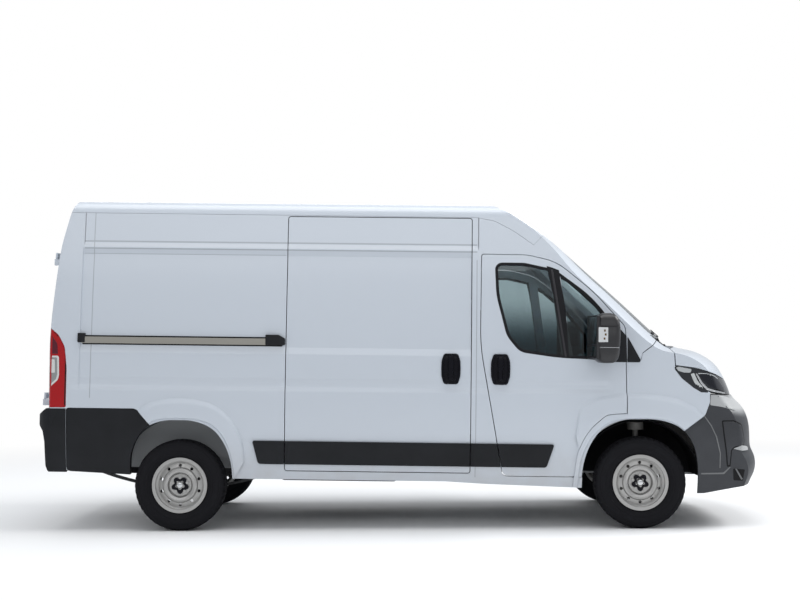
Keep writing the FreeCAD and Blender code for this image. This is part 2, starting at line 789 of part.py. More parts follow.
def hinge_half(z0, z1, body_side):
    """One leaf and its share of the barrel of a right rear hinge."""
    x0 = rear_hinge_x(z0)
    x1 = rear_hinge_x(z1)
    y = -REAR_HINGE_Y
    radius = REAR_BARREL_RADIUS
    barrel = rod(radius, (x0, y, z0), (x1, y, z1))
    back = min(x0, x1) - radius + 2
    if body_side:
        return fused([barrel, box(back, -2560, y - 22, y - 4, z0 + 1, z1 - 1)])
    bridge = box(back, x1 + radius - 2, y, y + 45, z0 + 1, z1 - 1)
    return fused([barrel, bridge, box(back, -2560, y + 22, y + 45, z0 + 1, z1 - 1)])


def rear_doors():
    """Two hinged rear doors with the moving halves of their hinges."""
    door = HALF_SKIN.common(rear_door_block(0.0)).cut([
        box(-3000, -2000, -SEAM / 2, 100, 0, 3000),
        box(-3000, -2000, -1000, 100, REAR_DOOR_TOP - REAR_DOOR_DROP, 2500),
    ])
    pieces = [door]
    for z in REAR_HINGE_HEIGHTS:
        pieces.append(hinge_half(z + SEAT_GAP / 2, z + REAR_BARREL_HALF, False).cut(SHEET_INSIDE))
    whole = fused(pieces)
    save("rear_door_right", tipped(whole))
    save("rear_door_left", tipped(mirrored(whole)))


def rear_hinges():
    """The fixed halves of the rear hinges, on the corner posts."""
    leaves = []
    for z in REAR_HINGE_HEIGHTS:
        leaves.append(hinge_half(z - REAR_BARREL_HALF, z - SEAT_GAP / 2, True).cut(OUTER))
    save("rear_hinges", tipped(pair(Part.makeCompound(leaves))))


def tail_lamps():
    """The upright corner lamps."""
    lamp = HALF_SKIN.common(side_prism(TAIL_LAMP, -1100, -REAR_CORNER_Y - 2))
    save("tail_lamps", tipped(pair(lamp)))


def rear_bumper():
    """Rear step bumper with raised corners, and the dark panels ahead of it."""
    panel = HALF_SKIN.common(side_prism(REAR_SIDE_PANEL, -1100, -700))
    panel = panel.cut(side_prism(REAR_ARCH, -1110, -590))
    save("rear_bumper", tipped(Part.makeCompound([REAR_BUMPER, pair(panel)])))


def bonnet_arm(y):
    """A moving hinge arm, from its eye on the hinge line to the bonnet's edge."""
    x = BONNET_HINGE_X
    z = BONNET_HINGE_Z
    half = BONNET_LEAF / 2
    eye = rod(BONNET_KNUCKLE, (x, y - half, z), (x, y + half, z))
    arm = side_prism((
        (x, z - 8, 0), (x, z + 8, 0), (x + 28, z - 6, 0), (x + 73, z - 36, 0), (x + 73, z - 50, 0),
        (x + 28, z - 26, 0),
    ), y - half, y + half)
    hole = rod(BONNET_PIN + BONNET_PIN_PLAY, (x, y - 20, z), (x, y + 20, z))
    return eye.fuse(arm).cut(hole)


def bonnet():
    """The short bonnet, wrapped down over the lamps, with its two hinge arms."""
    shape = OUTER.common(box(1900, 2700, -1100, 1100, 1050, 1600)).cut(SHEET_INSIDE)
    shape = shape.common(side_prism(BONNET_ZONE, -1100, 1100)).common(COWL)
    shape = shape.cut(front_prism(((-566, 900, 0), (566, 900, 0), (566, 1114, 0), (-566, 1114, 0)), 2000, 3000))
    save("bonnet", tipped(fused([shape, bonnet_arm(-BONNET_HINGE_Y), bonnet_arm(BONNET_HINGE_Y)])))


def hinge_post(side):
    """A fixed bonnet hinge on the scuttle: a leaf outside the arm, with the pin."""
    x = BONNET_HINGE_X
    z = BONNET_HINGE_Z
    near = side * (BONNET_HINGE_Y + BONNET_LEAF / 2 + 1)
    far = near + side * BONNET_LEAF
    low = z - SCUTTLE_SUNK - SHEET / 2
    leaf = box(x - BONNET_KNUCKLE, x + BONNET_KNUCKLE, min(near, far), max(near, far), low, z)
    eye = rod(BONNET_KNUCKLE, (x, near, z), (x, far, z))
    pin = rod(BONNET_PIN, (x, side * (BONNET_HINGE_Y - BONNET_LEAF), z), (x, far, z))
    return [leaf, eye, pin]


def scuttle():
    """The black panel between windscreen and bonnet, with the fixed bonnet hinges."""
    side = SCUTTLE_HALF - SEAT_GAP
    sheet = layer(NOSE[8:], SCUTTLE_SUNK, SCUTTLE_SUNK + SHEET)
    shape = sheet.common(box(1650, 2300, -side, side, 1200, 1477))
    shape = shape.cut(ahead_of(2124 + SCUTTLE_LAP, 420, 2.2, 1000, 1700))
    save("scuttle", tipped(fused([shape] + hinge_post(-1) + hinge_post(1))))


def wings():
    """The two front wings over the wheels."""
    wing = HALF_WING.common(side_prism(WING_ZONE, -1100, -500))
    wing = wing.cut([
        side_prism(CAB_DOOR, -1110, -490, SEAM / 2),
        side_prism(FRONT_ARCH, -1110, -490),
        side_prism(HEADLAMP, -1110, -490, 2.5),
        box(1600, 2300, -872, 0, 1290, 1600),
    ])
    save("front_wings", tipped(pair(wing)))


def headlamps():
    """The wrap-round lamps."""
    lamp = HALF_SKIN.common(side_prism(HEADLAMP, -1100, -566))
    save("headlamps", tipped(pair(lamp)))


GRILLE_HALF = 560.0
GRILLE_LOW = 905.0
GRILLE_HIGH = 1108.0


def grille():
    """The slatted grille between the lamps."""
    face = ((-GRILLE_HALF, GRILLE_LOW, 20), (GRILLE_HALF, GRILLE_LOW, 20),
            (GRILLE_HALF, GRILLE_HIGH, 20), (-GRILLE_HALF, GRILLE_HIGH, 20))
    whole = NOSE_SHEET.common(front_prism(face, 2000, 2800))
    slots = []
    rows = 5
    pitch = (GRILLE_HIGH - GRILLE_LOW - 20) / rows
    for row in range(rows):
        low = GRILLE_LOW + 20 + row * pitch
        for side in (-1, 1):
            inner = 12.0
            outer = GRILLE_HALF - 24
            y0 = min(side * inner, side * outer)
            slots.append(box(2000, 2800, y0, y0 + outer - inner, low, low + pitch - 20))
    save("grille", tipped(whole.cut(slots)))


def solid_behind(profile, inset):
    """Everything behind a nose profile, as far back as the front axle."""
    wires = []
    for y in stations():
        curve, ends = inset_curve(nose_points(profile, y), inset)
        high = ends[0] + Vector(0, 0, BUMPER_SPARE)
        low = ends[-1] - Vector(0, 0, BUMPER_SPARE)
        back_low = Vector(FRONT_HUB_X, y, low.z)
        back_high = Vector(FRONT_HUB_X, y, high.z)
        wires.append(Part.Wire([
            Part.LineSegment(high, ends[0]).toShape(),
            curve.toShape(),
            Part.LineSegment(ends[-1], low).toShape(),
            Part.LineSegment(low, back_low).toShape(),
            Part.LineSegment(back_low, back_high).toShape(),
            Part.LineSegment(back_high, high).toShape(),
        ]))
    return Part.makeLoft(wires, True, False)


def front_bumper():
    """The deep front bumper with its lower intake."""
    outer = solid_behind(BUMPER, 0.0).common(section_bar(0.0, 2000, 2900))
    inner = solid_behind(BUMPER, BUMPER_WALL).common(section_bar(BUMPER_WALL, 1900, 2900))
    shell = outer.cut(inner).common(side_prism(BUMPER_ZONE, -1100, 1100, -2.0))
    intake = ((-480, 384, 20), (480, 384, 20), (520, 458, 20), (-520, 458, 20))
    shell = shell.cut([
        side_prism(FRONT_ARCH, -1110, 1110),
        front_prism(((-566, 900, 0), (566, 900, 0), (566, 1100, 0), (-566, 1100, 0)), 2000, 3000),
        front_prism(intake, 2300, 3000),
        pair(side_prism(HEADLAMP, -1110, -490, 2.5)),
    ])
    save("front_bumper", tipped(shell))


def wheel_box(hub_x, hub_z, radius, y0, y1, thick):
    """A sheet housing over a wheel, with its inner wall at y0."""
    outer = rod(radius + thick, (hub_x, y0, hub_z), (hub_x, y1, hub_z))
    inner = rod(radius, (hub_x, y0 + thick, hub_z), (hub_x, y1 + 10, hub_z))
    return outer, inner


def floor():
    """Load and cab floor with its rails, wheel housings and firewall."""
    plate = box(-2690, 1660, -1000, 1000, FLOOR_TOP - FLOOR_THICK, FLOOR_TOP)
    plate = plate.common(CLEAR_INSIDE)
    rear_room = []
    front_room = []
    housings = []
    for side in (-1, 1):
        outer, inner = wheel_box(REAR_HUB_X, REAR_HUB_Z, 520, 711, 1000, 8)
        if side < 0:
            outer = mirrored(outer)
            inner = mirrored(inner)
        housings.append(outer)
        rear_room.append(inner)
        outer, inner = wheel_box(FRONT_HUB_X, FRONT_HUB_Z, 478, 548, 1000, 10)
        if side < 0:
            outer = mirrored(outer)
            inner = mirrored(inner)
        housings.append(outer)
        front_room.append(inner)
    above = box(-2300, 1655, -1000, 1000, FLOOR_TOP - FLOOR_THICK, 1000)
    covers = [h.common(above) for h in housings]
    firewall = box(1650, 1672, -1000, 1000, FLOOR_TOP - FLOOR_THICK, 1385)
    rails = []
    for side in (-1, 1):
        y = side * 470
        rails.append(box(-2600, 2420, y - 40, y + 40, 400, FLOOR_TOP - FLOOR_THICK + 1))
    beams = [box(x, x + 60, -900, 900, 430, FLOOR_TOP - FLOOR_THICK + 1) for x in (-2560, -1100, -300, 500, 1180)]
    whole = fused([plate, firewall] + covers + rails + beams)
    whole = whole.common(CLEAR_INSIDE)
    save("floor", tipped(whole.cut(rear_room + front_room)))


def bulkhead():
    """The partition behind the seats."""
    sheet = box(478, 500, -1000, 1000, FLOOR_TOP, 2460).common(CLEAR_INSIDE)
    ribs = [box(470, 479, y - 30, y + 30, 700, 2100) for y in range(-640, 641, 320)]
    save("bulkhead", tipped(fused([sheet] + ribs)))


def arch_liners():
    """Plastic liners inside the four wheel arches, the front ones closed on their inner side."""
    outer = rod(FRONT_LINER + LINER_THICK, (FRONT_HUB_X, 565, FRONT_HUB_Z), (FRONT_HUB_X, 938, FRONT_HUB_Z))
    room = rod(FRONT_LINER, (FRONT_HUB_X, 565 + LINER_THICK, FRONT_HUB_Z), (FRONT_HUB_X, 1100, FRONT_HUB_Z))
    front = outer.cut(room).common(box(FRONT_HUB_X - 500, FRONT_HUB_X + 500, 500, 1100, 420, 1000))
    save("front_liners", tipped(pair(front)))
    outer = rod(REAR_LINER + LINER_THICK, (REAR_HUB_X, 722, REAR_HUB_Z), (REAR_HUB_X, 990, REAR_HUB_Z))
    room = rod(REAR_LINER, (REAR_HUB_X, 700, REAR_HUB_Z), (REAR_HUB_X, 1100, REAR_HUB_Z))
    rear = outer.cut(room).common(box(REAR_HUB_X - 600, REAR_HUB_X + 600, 500, 1100, 470, 1000))
    save("rear_liners", tipped(pair(rear.common(CLEAR_INSIDE))))


def engine():
    """Engine and gearbox as one plain block."""
    save("engine", tipped(rounded_box(1900, 2330, -380, 380, 420, 1090, 25)))


def dashboard():
    """The dashboard across the cab, with the hood over the dials."""
    profile = (
        (1645, 900, 0), (1645, 1335, 0), (1560, 1352, 40), (1420, 1330, 40),
        (1330, 1250, 40), (1345, 1090, 60), (1420, 960, 60), (1500, 900, 20),
    )
    shape = side_prism(profile, -930, 930)
    console = side_prism(((1480, 880, 10), (1480, 960, 0), (1400, 1150, 0), (1300, 1130, 30), (1330, 900, 30)), -130, 130)
    hood = side_prism(((1500, 1320, 0), (1440, 1392, 30), (1330, 1380, 30), (1345, 1280, 0)), DRIVER_Y - 170, DRIVER_Y + 170)
    whole = fused([shape, console, hood]).common(CLEAR_INSIDE)
    save("dashboard", tipped(whole))


def steering_wheel():
    """Steering wheel with three spokes and its column."""
    rim = Part.makeTorus(188, 15)
    pieces = [rim, Part.makeCylinder(52, 34, Vector(0, 0, -30))]
    for angle in (90, 210, 330):
        spoke = box(30, 182, -14, 14, -16, -4)
        spoke.rotate(Vector(0, 0, 0), Vector(0, 0, 1), angle)
        pieces.append(spoke)
    pieces.append(Part.makeCylinder(24, 120, Vector(0, 0, -150)))
    wheel = fused(pieces)
    wheel.rotate(Vector(0, 0, 0), Vector(0, 1, 0), -38)
    wheel.translate(Vector(1215, DRIVER_Y, 1215))
    save("steering_wheel", tipped(wheel.cut(box(1320, 1700, 0, 900, 880, 1395))))


def seat(y0, y1, rest_centres):
    """One seat's upholstery: cushion, backrest and headrests."""
    cushion = side_prism((
        (SEAT_FRONT, SEAT_BASE_TOP, 30), (SEAT_FRONT, CUSHION_TOP + 15, 45),
        (SEAT_REAR + 90, CUSHION_TOP, 0), (SEAT_REAR + 60, SEAT_BASE_TOP, 20),
    ), y0, y1)
    back = side_prism((
        (SEAT_REAR, SEAT_BASE_TOP + 20, 30), (SEAT_REAR + 150, SEAT_BASE_TOP + 20, 0),
        (SEAT_REAR + 140, CUSHION_TOP + 40, 0), (SEAT_REAR + 20, BACK_TOP, 40),
        (SEAT_REAR - 80, BACK_TOP, 40),
    ), y0, y1)
    pieces = [cushion, back]
    for y in rest_centres:
        rest = rounded_box(SEAT_REAR - 95, SEAT_REAR - 5, y - 120, y + 120, BACK_TOP + 25, HEADREST_TOP, 30)
        pieces.append(rest)
        pieces.append(box(SEAT_REAR - 58, SEAT_REAR - 42, y - 50, y - 38, BACK_TOP - 10, BACK_TOP + 40))
        pieces.append(box(SEAT_REAR - 58, SEAT_REAR - 42, y + 38, y + 50, BACK_TOP - 10, BACK_TOP + 40))
    return fused(pieces)


def seats():
    """Driver's seat, two-place bench and the boxes they stand on."""
    bench_inner = -20.0
    bench_outer = -DRIVER_Y - SEAT_HALF - 120
    save("driver_seat", tipped(seat(DRIVER_Y - SEAT_HALF, DRIVER_Y + SEAT_HALF, (DRIVER_Y,))))
    centres = (bench_inner - 215, bench_outer + 215)
    save("bench_seat", tipped(seat(bench_outer, bench_inner, centres)))
    low = FLOOR_TOP
    high = SEAT_BASE_TOP - SEAT_GAP
    driver = box(SEAT_REAR + 70, SEAT_FRONT - 60, DRIVER_Y - 200, DRIVER_Y + 200, low, high)
    bench = box(SEAT_REAR + 70, SEAT_FRONT - 60, bench_outer + 40, bench_inner - 40, low, high)
    save("seat_bases", tipped(Part.makeCompound([driver, bench])))


def front_subframe():
    """Cross-member with the lower arms, and the beam behind the bumper."""
    member = box(FRONT_HUB_X - 120, FRONT_HUB_X + 120, -500, 500, 215, 330)
    pieces = [member]
    for side in (-1, 1):
        arm = plan_prism((
            (FRONT_HUB_X - 110, side * 480, 0), (FRONT_HUB_X + 110, side * 480, 0),
            (FRONT_HUB_X + 45, side * 715, 30), (FRONT_HUB_X - 45, side * 715, 30),
        ), 222, 250)
        pieces.append(arm)
        pieces.append(box(FRONT_HUB_X - 60, FRONT_HUB_X + 60, side * 470 - 30, side * 470 + 30, 320, 399))
    beam = box(2425, 2500, -620, 620, 560, 700)
    bracket = box(2425, 2500, -TOW_Y - TOW_BRACKET_HALF, -TOW_Y + TOW_BRACKET_HALF, 395, 565)
    radiator = box(2425, 2490, -420, 420, 400, 900)
    socket = rod(TOW_TUBE_RADIUS, (2450, -TOW_Y, TOW_Z), (TOW_MOUTH_X, -TOW_Y, TOW_Z))
    thread = rod(TOW_HOLE_RADIUS, (TOW_MOUTH_X - TOW_HOLE_DEPTH, -TOW_Y, TOW_Z), (TOW_MOUTH_X + 1, -TOW_Y, TOW_Z))
    front = fused([beam, bracket, radiator, socket]).cut(thread)
    save("front_subframe", tipped(Part.makeCompound([fused(pieces), front])))


def rear_axle():
    """Tubular rear axle on single leaf springs."""
    tube = rod(38, (REAR_HUB_X, -760, REAR_HUB_Z), (REAR_HUB_X, 760, REAR_HUB_Z))
    pieces = [tube]
    for side in (-1, 1):
        y = side * 560
        stub_in = side * 750
        stub_out = side * (TRACK_REAR / 2 + WHEEL_FACE - MOUNT_DEPTH - SEAT_GAP)
        pieces.append(rod(30, (REAR_HUB_X, stub_in, REAR_HUB_Z), (REAR_HUB_X, stub_out, REAR_HUB_Z)))
        flange_in = stub_out - side * 12
        pieces.append(rod(62, (REAR_HUB_X, flange_in, REAR_HUB_Z), (REAR_HUB_X, stub_out, REAR_HUB_Z)))
        drum_in = side * (TRACK_REAR / 2 - 75)
        drum_out = side * (TRACK_REAR / 2 + 5)
        pieces.append(rod(135, (REAR_HUB_X, drum_in, REAR_HUB_Z), (REAR_HUB_X, drum_out, REAR_HUB_Z)))
        spring = [Vector(REAR_HUB_X - 680, y - 35, 360), Vector(REAR_HUB_X, y - 35, REAR_HUB_Z - 62),
                  Vector(REAR_HUB_X + 700, y - 35, 390)]
        low = Part.Arc(spring[0], spring[1], spring[2]).toShape()
        leaf = low.extrude(Vector(0, 70, 0))
        leaf = leaf.extrude(Vector(0, 0, 16))
        pieces.append(leaf)
        pieces.append(box(REAR_HUB_X - 60, REAR_HUB_X + 60, y - 45, y + 45, REAR_HUB_Z - 62, REAR_HUB_Z))
    save("rear_axle", tipped(fused(pieces)))


def under_floor():
    """Exhaust, fuel tank and spare wheel under the floor."""
    tank = rounded_box(-1000, -60, -420, 400, 300, 470, 40)
    save("fuel_tank", tipped(tank.cut(box(-3000, 3000, -1000, 1000, 428, 600))))
    pipe = rod(28, (1500, 560, 360), (-600, 560, 360))
    silencer = rounded_box(-700, 0, 530, 700, 290, 400, 45)
    save("exhaust", tipped(fused([pipe, silencer])))
    spare = rod(330, (-2150, 0, 335), (-2150, 0, FLOOR_TOP - FLOOR_THICK - 5))
    save("spare_wheel", tipped(spare))


def tyre(x, y):
    """One tyre around its hub."""
    half = TYRE_WIDTH / 2
    bead = BEAD_HALF
    wide = (TYRE_RADIUS + RIM_RADIUS) / 2 + 6
    profile = (
        (RIM_RADIUS + 2, bead), (RIM_RADIUS + RIM_LIP + 3, bead + 1), (RIM_RADIUS + 46, half - 5), (wide, half),
        (TYRE_RADIUS - TYRE_CORNER, half - 9), (TYRE_RADIUS - 7, half - 26), (TYRE_RADIUS, half - 48),
    )
    points = [Vector(0, across, up) for up, across in profile]
    other = [Vector(0, -p.y, p.z) for p in reversed(points)]
    edges = [
        Part.LineSegment(points[0], points[1]).toShape(),
        Part.Arc(points[1], points[2], points[3]).toShape(),
        Part.Arc(points[3], points[4], points[5]).toShape(),
        Part.LineSegment(points[5], points[6]).toShape(),
        Part.LineSegment(points[6], other[0]).toShape(),
        Part.LineSegment(other[0], other[1]).toShape(),
        Part.Arc(other[1], other[2], other[3]).toShape(),
        Part.Arc(other[3], other[4], other[5]).toShape(),
        Part.LineSegment(other[5], other[6]).toShape(),
        Part.LineSegment(other[6], points[0]).toShape(),
    ]
    body = Part.Face(Part.Wire(edges)).revolve(Vector(0, 0, 0), Vector(0, 1, 0), 360)
    body.translate(Vector(x, y, TYRE_RADIUS))
    return body


def rim(side):
    """Steel wheel for one side, at the origin, its face towards that side."""
    lip = RIM_RADIUS + RIM_LIP
    well = RIM_RADIUS - 26
    face = WHEEL_FACE
    outer = [
        (lip, RIM_HALF), (lip, RIM_HALF - 8), (RIM_RADIUS + 1, RIM_HALF - 12), (RIM_RADIUS + 1, 46),
        (well, 30), (well, -20), (RIM_RADIUS + 1, -42), (RIM_RADIUS + 1, -RIM_HALF + 12),
        (lip, -RIM_HALF + 8), (lip, -RIM_HALF),
    ]
    inner = [
        (RIM_RADIUS - 8, -RIM_HALF), (RIM_RADIUS - 8, -48), (well - 7, -24), (well - 7, 22),
    ]
    back = face - MOUNT_DEPTH
    disc = [
        (160, face - 32), (134, face - 22), (124, face - 12), (112, face - 7), (97, face - 12),
        (88, back), (34, back), (34, back + 12), (79, back + 12), (84, face - 15),
        (95, face - 2), (112, face + 4), (126, face - 2), (134, face - 12), (166, face - 20),
        (RIM_RADIUS - 8, 54), (RIM_RADIUS - 8, RIM_HALF),
    ]
    points = [Vector(0, side * across, up) for up, across in outer + inner + disc]
    wire = Part.makePolygon(points + [points[0]])
    body = Part.Face(wire).revolve(Vector(0, 0, 0), Vector(0, 1, 0), 360)
    holes = []
    for number in range(HOLE_COUNT):
        hole = rod(HOLE_RADIUS, (0, side * (face - 34), HOLE_RING), (0, side * 120, HOLE_RING))
        hole.rotate(Vector(0, 0, 0), Vector(0, 1, 0), 360 * number / HOLE_COUNT)
        holes.append(hole)
    nuts = [rod(36, (0, side * (back + 6), 0), (0, side * (face + 4), 0))]
    for number in range(NUT_COUNT):
        nut = rod(NUT_RADIUS, (0, side * (back + 6), NUT_RING), (0, side * (face + 2), NUT_RING))
        nut.rotate(Vector(0, 0, 0), Vector(0, 1, 0), 360 * number / NUT_COUNT)
        nuts.append(nut)
    return fused([body.cut(holes)] + nuts)


def wheels():
    """Four tyres on four steel wheels."""
    places = (
        ("front_right", FRONT_AXLE_X, -1, TRACK_FRONT), ("front_left", FRONT_AXLE_X, 1, TRACK_FRONT),
        ("rear_right", REAR_AXLE_X, -1, TRACK_REAR), ("rear_left", REAR_AXLE_X, 1, TRACK_REAR),
    )
    right_rim = rim(-1)
    for name, x, side, track in places:
        y = side * track / 2
        save("tyre_" + name, tyre(x, y))
        wheel = right_rim.copy() if side < 0 else mirrored(right_rim)
        wheel.translate(Vector(x, y, TYRE_RADIUS))
        save("wheel_" + name, wheel)


def knuckles():
    """Front knuckles with hub, brake disc, caliper and strut."""
    for name, side in (("right", -1), ("left", 1)):
        centre = TRACK_FRONT / 2
        face = centre + WHEEL_FACE - MOUNT_DEPTH - SEAT_GAP
        x = FRONT_AXLE_X
        z = TYRE_RADIUS
        hub = rod(30, (x, side * (KINGPIN_Y - 10), z), (x, side * face, z))
        flange = rod(62, (x, side * (face - 12), z), (x, side * face, z))
        disc = rod(DISC_RADIUS, (x, side * (face - 44), z), (x, side * (face - 44 + DISC_THICK), z))
        bell = rod(80, (x, side * (face - 22), z), (x, side * (face - 4), z))
        post = box(x - 35, x + 35, min(side * 740, side * 790), max(side * 740, side * 790), z - 110, z + 140)
        strut = rod(22, (x, side * KINGPIN_Y, z + 100), (x, side * KINGPIN_Y, z + 400))
        spring = rod(62, (x, side * KINGPIN_Y, z + 385), (x, side * KINGPIN_Y, z + 440))
        y0 = min(side * (face - 62), side * (face - 8))
        caliper = box(x - 140, x - 85, y0, y0 + 54, z - 50, z + 50)
        arm = box(x - 120, x, min(side * 770, side * (face - 44)), max(side * 770, side * (face - 44)), z - 25, z + 25)
        save("knuckle_" + name, fused([hub, flange, disc, bell, post, strut, spring, caliper, arm]))


side_walls()
roof()
windscreen()
cab_doors()
cab_trims()
sliding_door()
side_strips()
door_rail()
rear_doors()
rear_hinges()
tail_lamps()
rear_bumper()
bonnet()
scuttle()
wings()
headlamps()
grille()
front_bumper()
floor()
bulkhead()
arch_liners()
engine()
dashboard()
steering_wheel()
seats()
front_subframe()
rear_axle()
under_floor()
wheels()
knuckles()
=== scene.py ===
"""Looks of a panel van with a medium wheelbase and a high roof, in pale paint on steel wheels.

Metres, X to the front, Y to the van's left and Z up, as in the frame.
The body stands nose down by its rake, so body pieces are drawn level and then tipped.
"""
import bmesh
import bpy
import math
from mathutils import Matrix, Vector
from mathutils.bvhtree import BVHTree


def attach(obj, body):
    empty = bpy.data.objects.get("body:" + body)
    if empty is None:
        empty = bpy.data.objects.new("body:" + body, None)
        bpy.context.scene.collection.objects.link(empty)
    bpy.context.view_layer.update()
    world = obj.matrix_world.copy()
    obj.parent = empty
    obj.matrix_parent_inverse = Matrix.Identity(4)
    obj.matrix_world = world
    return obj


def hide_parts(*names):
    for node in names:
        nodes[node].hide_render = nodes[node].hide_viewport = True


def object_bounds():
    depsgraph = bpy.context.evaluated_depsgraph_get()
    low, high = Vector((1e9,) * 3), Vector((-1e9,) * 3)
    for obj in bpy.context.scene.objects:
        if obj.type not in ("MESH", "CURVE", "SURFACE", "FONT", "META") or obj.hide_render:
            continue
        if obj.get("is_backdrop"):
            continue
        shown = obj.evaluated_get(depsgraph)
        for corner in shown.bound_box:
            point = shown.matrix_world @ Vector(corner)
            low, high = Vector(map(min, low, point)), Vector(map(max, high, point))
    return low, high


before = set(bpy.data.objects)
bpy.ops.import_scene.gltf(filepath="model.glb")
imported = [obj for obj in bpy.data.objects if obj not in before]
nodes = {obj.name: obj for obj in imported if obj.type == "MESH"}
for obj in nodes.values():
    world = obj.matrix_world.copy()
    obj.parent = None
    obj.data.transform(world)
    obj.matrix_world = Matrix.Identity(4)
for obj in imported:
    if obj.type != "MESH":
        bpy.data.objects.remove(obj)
CAD_LOW, CAD_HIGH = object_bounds()

# The view from the van's right side, level with the mirrors and eleven metres off
CAMERA_AT = Vector((0.1135, -11.0, 1.3074))
CAMERA_YAW = math.radians(0.8)
CAMERA_PITCH = math.radians(2.35)
CAMERA_ROLL = math.radians(-0.4375)
CAMERA_LENS = 59.96


def link_object(name, data):
    """A new object in the scene."""
    made = bpy.data.objects.new(name, data)
    bpy.context.scene.collection.objects.link(made)
    return made


camera_data = bpy.data.cameras.new("camera")
camera_data.lens = CAMERA_LENS
camera_data.sensor_width = 36.0
camera_data.clip_end = 200.0
camera = link_object("camera", camera_data)
camera.matrix_world = (
    Matrix.Translation(CAMERA_AT) @ Matrix.Rotation(CAMERA_YAW, 4, "Z")
    @ Matrix.Rotation(math.pi / 2 + CAMERA_PITCH, 4, "X") @ Matrix.Rotation(CAMERA_ROLL, 4, "Z")
)
bpy.context.scene.camera = camera
bpy.context.scene.view_settings.view_transform = "Standard"

# The pale floor fades into a white surround, and keeps the van's soft shadow.
# The surround is white for the camera and a plain pale sky for all other rays.
FLOOR_SIZE = 120.0
FLOOR_COLOUR = (0.90, 0.905, 0.91)
FADE_NEAR = 4.5
FADE_FAR = 11.0
SKY_COLOUR = (0.93, 0.96, 1.0)
SKY_STRENGTH = 0.56
LIGHTS_AIM = Vector((0.0, 0.0, 1.1))


def feed(tree, node, inputs):
    """Gives a node's inputs their values, or links them to other nodes."""
    for key, value in inputs.items():
        if isinstance(value, bpy.types.NodeSocket):
            tree.links.new(value, node.inputs[key])
        else:
            is_colour = isinstance(value, tuple) and len(value) == 3
            node.inputs[key].default_value = (*value, 1.0) if is_colour else value


def add_node(tree, kind, inputs=(), **settings):
    """A new shader node with its settings and inputs."""
    node = tree.nodes.new("ShaderNode" + kind)
    for key, value in settings.items():
        setattr(node, key, value)
    feed(tree, node, dict(inputs))
    return node


def new_material(name, inputs):
    """A node material, its tree and its shader."""
    material = bpy.data.materials.new(name)
    material.use_nodes = True
    shader = material.node_tree.nodes["Principled BSDF"]
    feed(material.node_tree, shader, inputs)
    return material, material.node_tree, shader


def own_place(tree):
    """The object's own co-ordinates."""
    return add_node(tree, "TexCoord").outputs["Object"]


def reckon(tree, kind, first, second=0.0):
    """One step of arithmetic between two sockets or numbers."""
    return add_node(tree, "Math", {0: first, 1: second}, operation=kind).outputs["Value"]


def product(tree, first, second):
    """Two sockets or numbers multiplied."""
    return reckon(tree, "MULTIPLY", first, second)


def ramp_up(tree, value, start, end):
    """Smoothly from 0 at one value to 1 at another."""
    inputs = {"Value": value, "From Min": start, "From Max": end}
    return add_node(tree, "MapRange", inputs, interpolation_type="SMOOTHSTEP").outputs["Result"]


def floor_material():
    """Pale matt floor that turns into the white surround away from the van."""
    material, tree, shader = new_material("studio_floor", {"Base Color": FLOOR_COLOUR, "Roughness": 0.9})
    distance = add_node(tree, "VectorMath", {0: own_place(tree)}, operation="LENGTH")
    fade = ramp_up(tree, distance.outputs["Value"], FADE_NEAR, FADE_FAR)
    seen = product(tree, add_node(tree, "LightPath").outputs["Is Camera Ray"], fade)
    glow = add_node(tree, "Emission").outputs["Emission"]
    mix = add_node(tree, "MixShader", {"Fac": seen, 1: shader.outputs["BSDF"], 2: glow})
    feed(tree, tree.nodes["Material Output"], {"Surface": mix.outputs["Shader"]})
    return material


floor_bm = bmesh.new()
bmesh.ops.create_grid(floor_bm, x_segments=1, y_segments=1, size=FLOOR_SIZE / 2)
floor_mesh = bpy.data.meshes.new("studio_floor")
floor_bm.to_mesh(floor_mesh)
floor_bm.free()
studio_floor = link_object("studio_floor", floor_mesh)
floor_mesh.materials.append(floor_material())
studio_floor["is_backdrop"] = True

world = bpy.data.worlds.new("surround")
bpy.context.scene.world = world
world.use_nodes = True
sky = world.node_tree
sky_back = sky.nodes["Background"]
feed(sky, sky_back, {"Color": SKY_COLOUR, "Strength": SKY_STRENGTH})
sky_white = add_node(sky, "Background", {"Color": (1.0, 1.0, 1.0)})
sky_seen = add_node(sky, "LightPath").outputs["Is Camera Ray"]
sky_mix = add_node(sky, "MixShader", {
    "Fac": sky_seen, 1: sky_back.outputs["Background"], 2: sky_white.outputs["Background"],
})
feed(sky, sky.nodes["World Output"], {"Surface": sky_mix.outputs["Shader"]})

SOFTBOXES = (
    ("overhead", (0.0, -1.5, 7.5), 8.0, 4.0, 285.0),
    ("near_side", (0.0, -9.5, 5.2), 14.0, 2.5, 135.0),
    ("far_side", (-1.5, 9.0, 5.5), 10.0, 3.0, 170.0),
    ("nose_side", (8.0, 0.6, 7.0), 4.0, 4.0, 560.0),
    ("tail_side", (-9.5, 1.0, 4.5), 4.0, 3.0, 110.0),
)
for name, at, width, height, power in SOFTBOXES:
    softbox_data = bpy.data.lights.new(name, "AREA")
    softbox_data.shape = "RECTANGLE"
    softbox_data.size = width
    softbox_data.size_y = height
    softbox_data.energy = power
    softbox = link_object(name, softbox_data)
    softbox.location = at
    softbox.rotation_euler = (LIGHTS_AIM - Vector(at)).to_track_quat("-Z", "Y").to_euler()

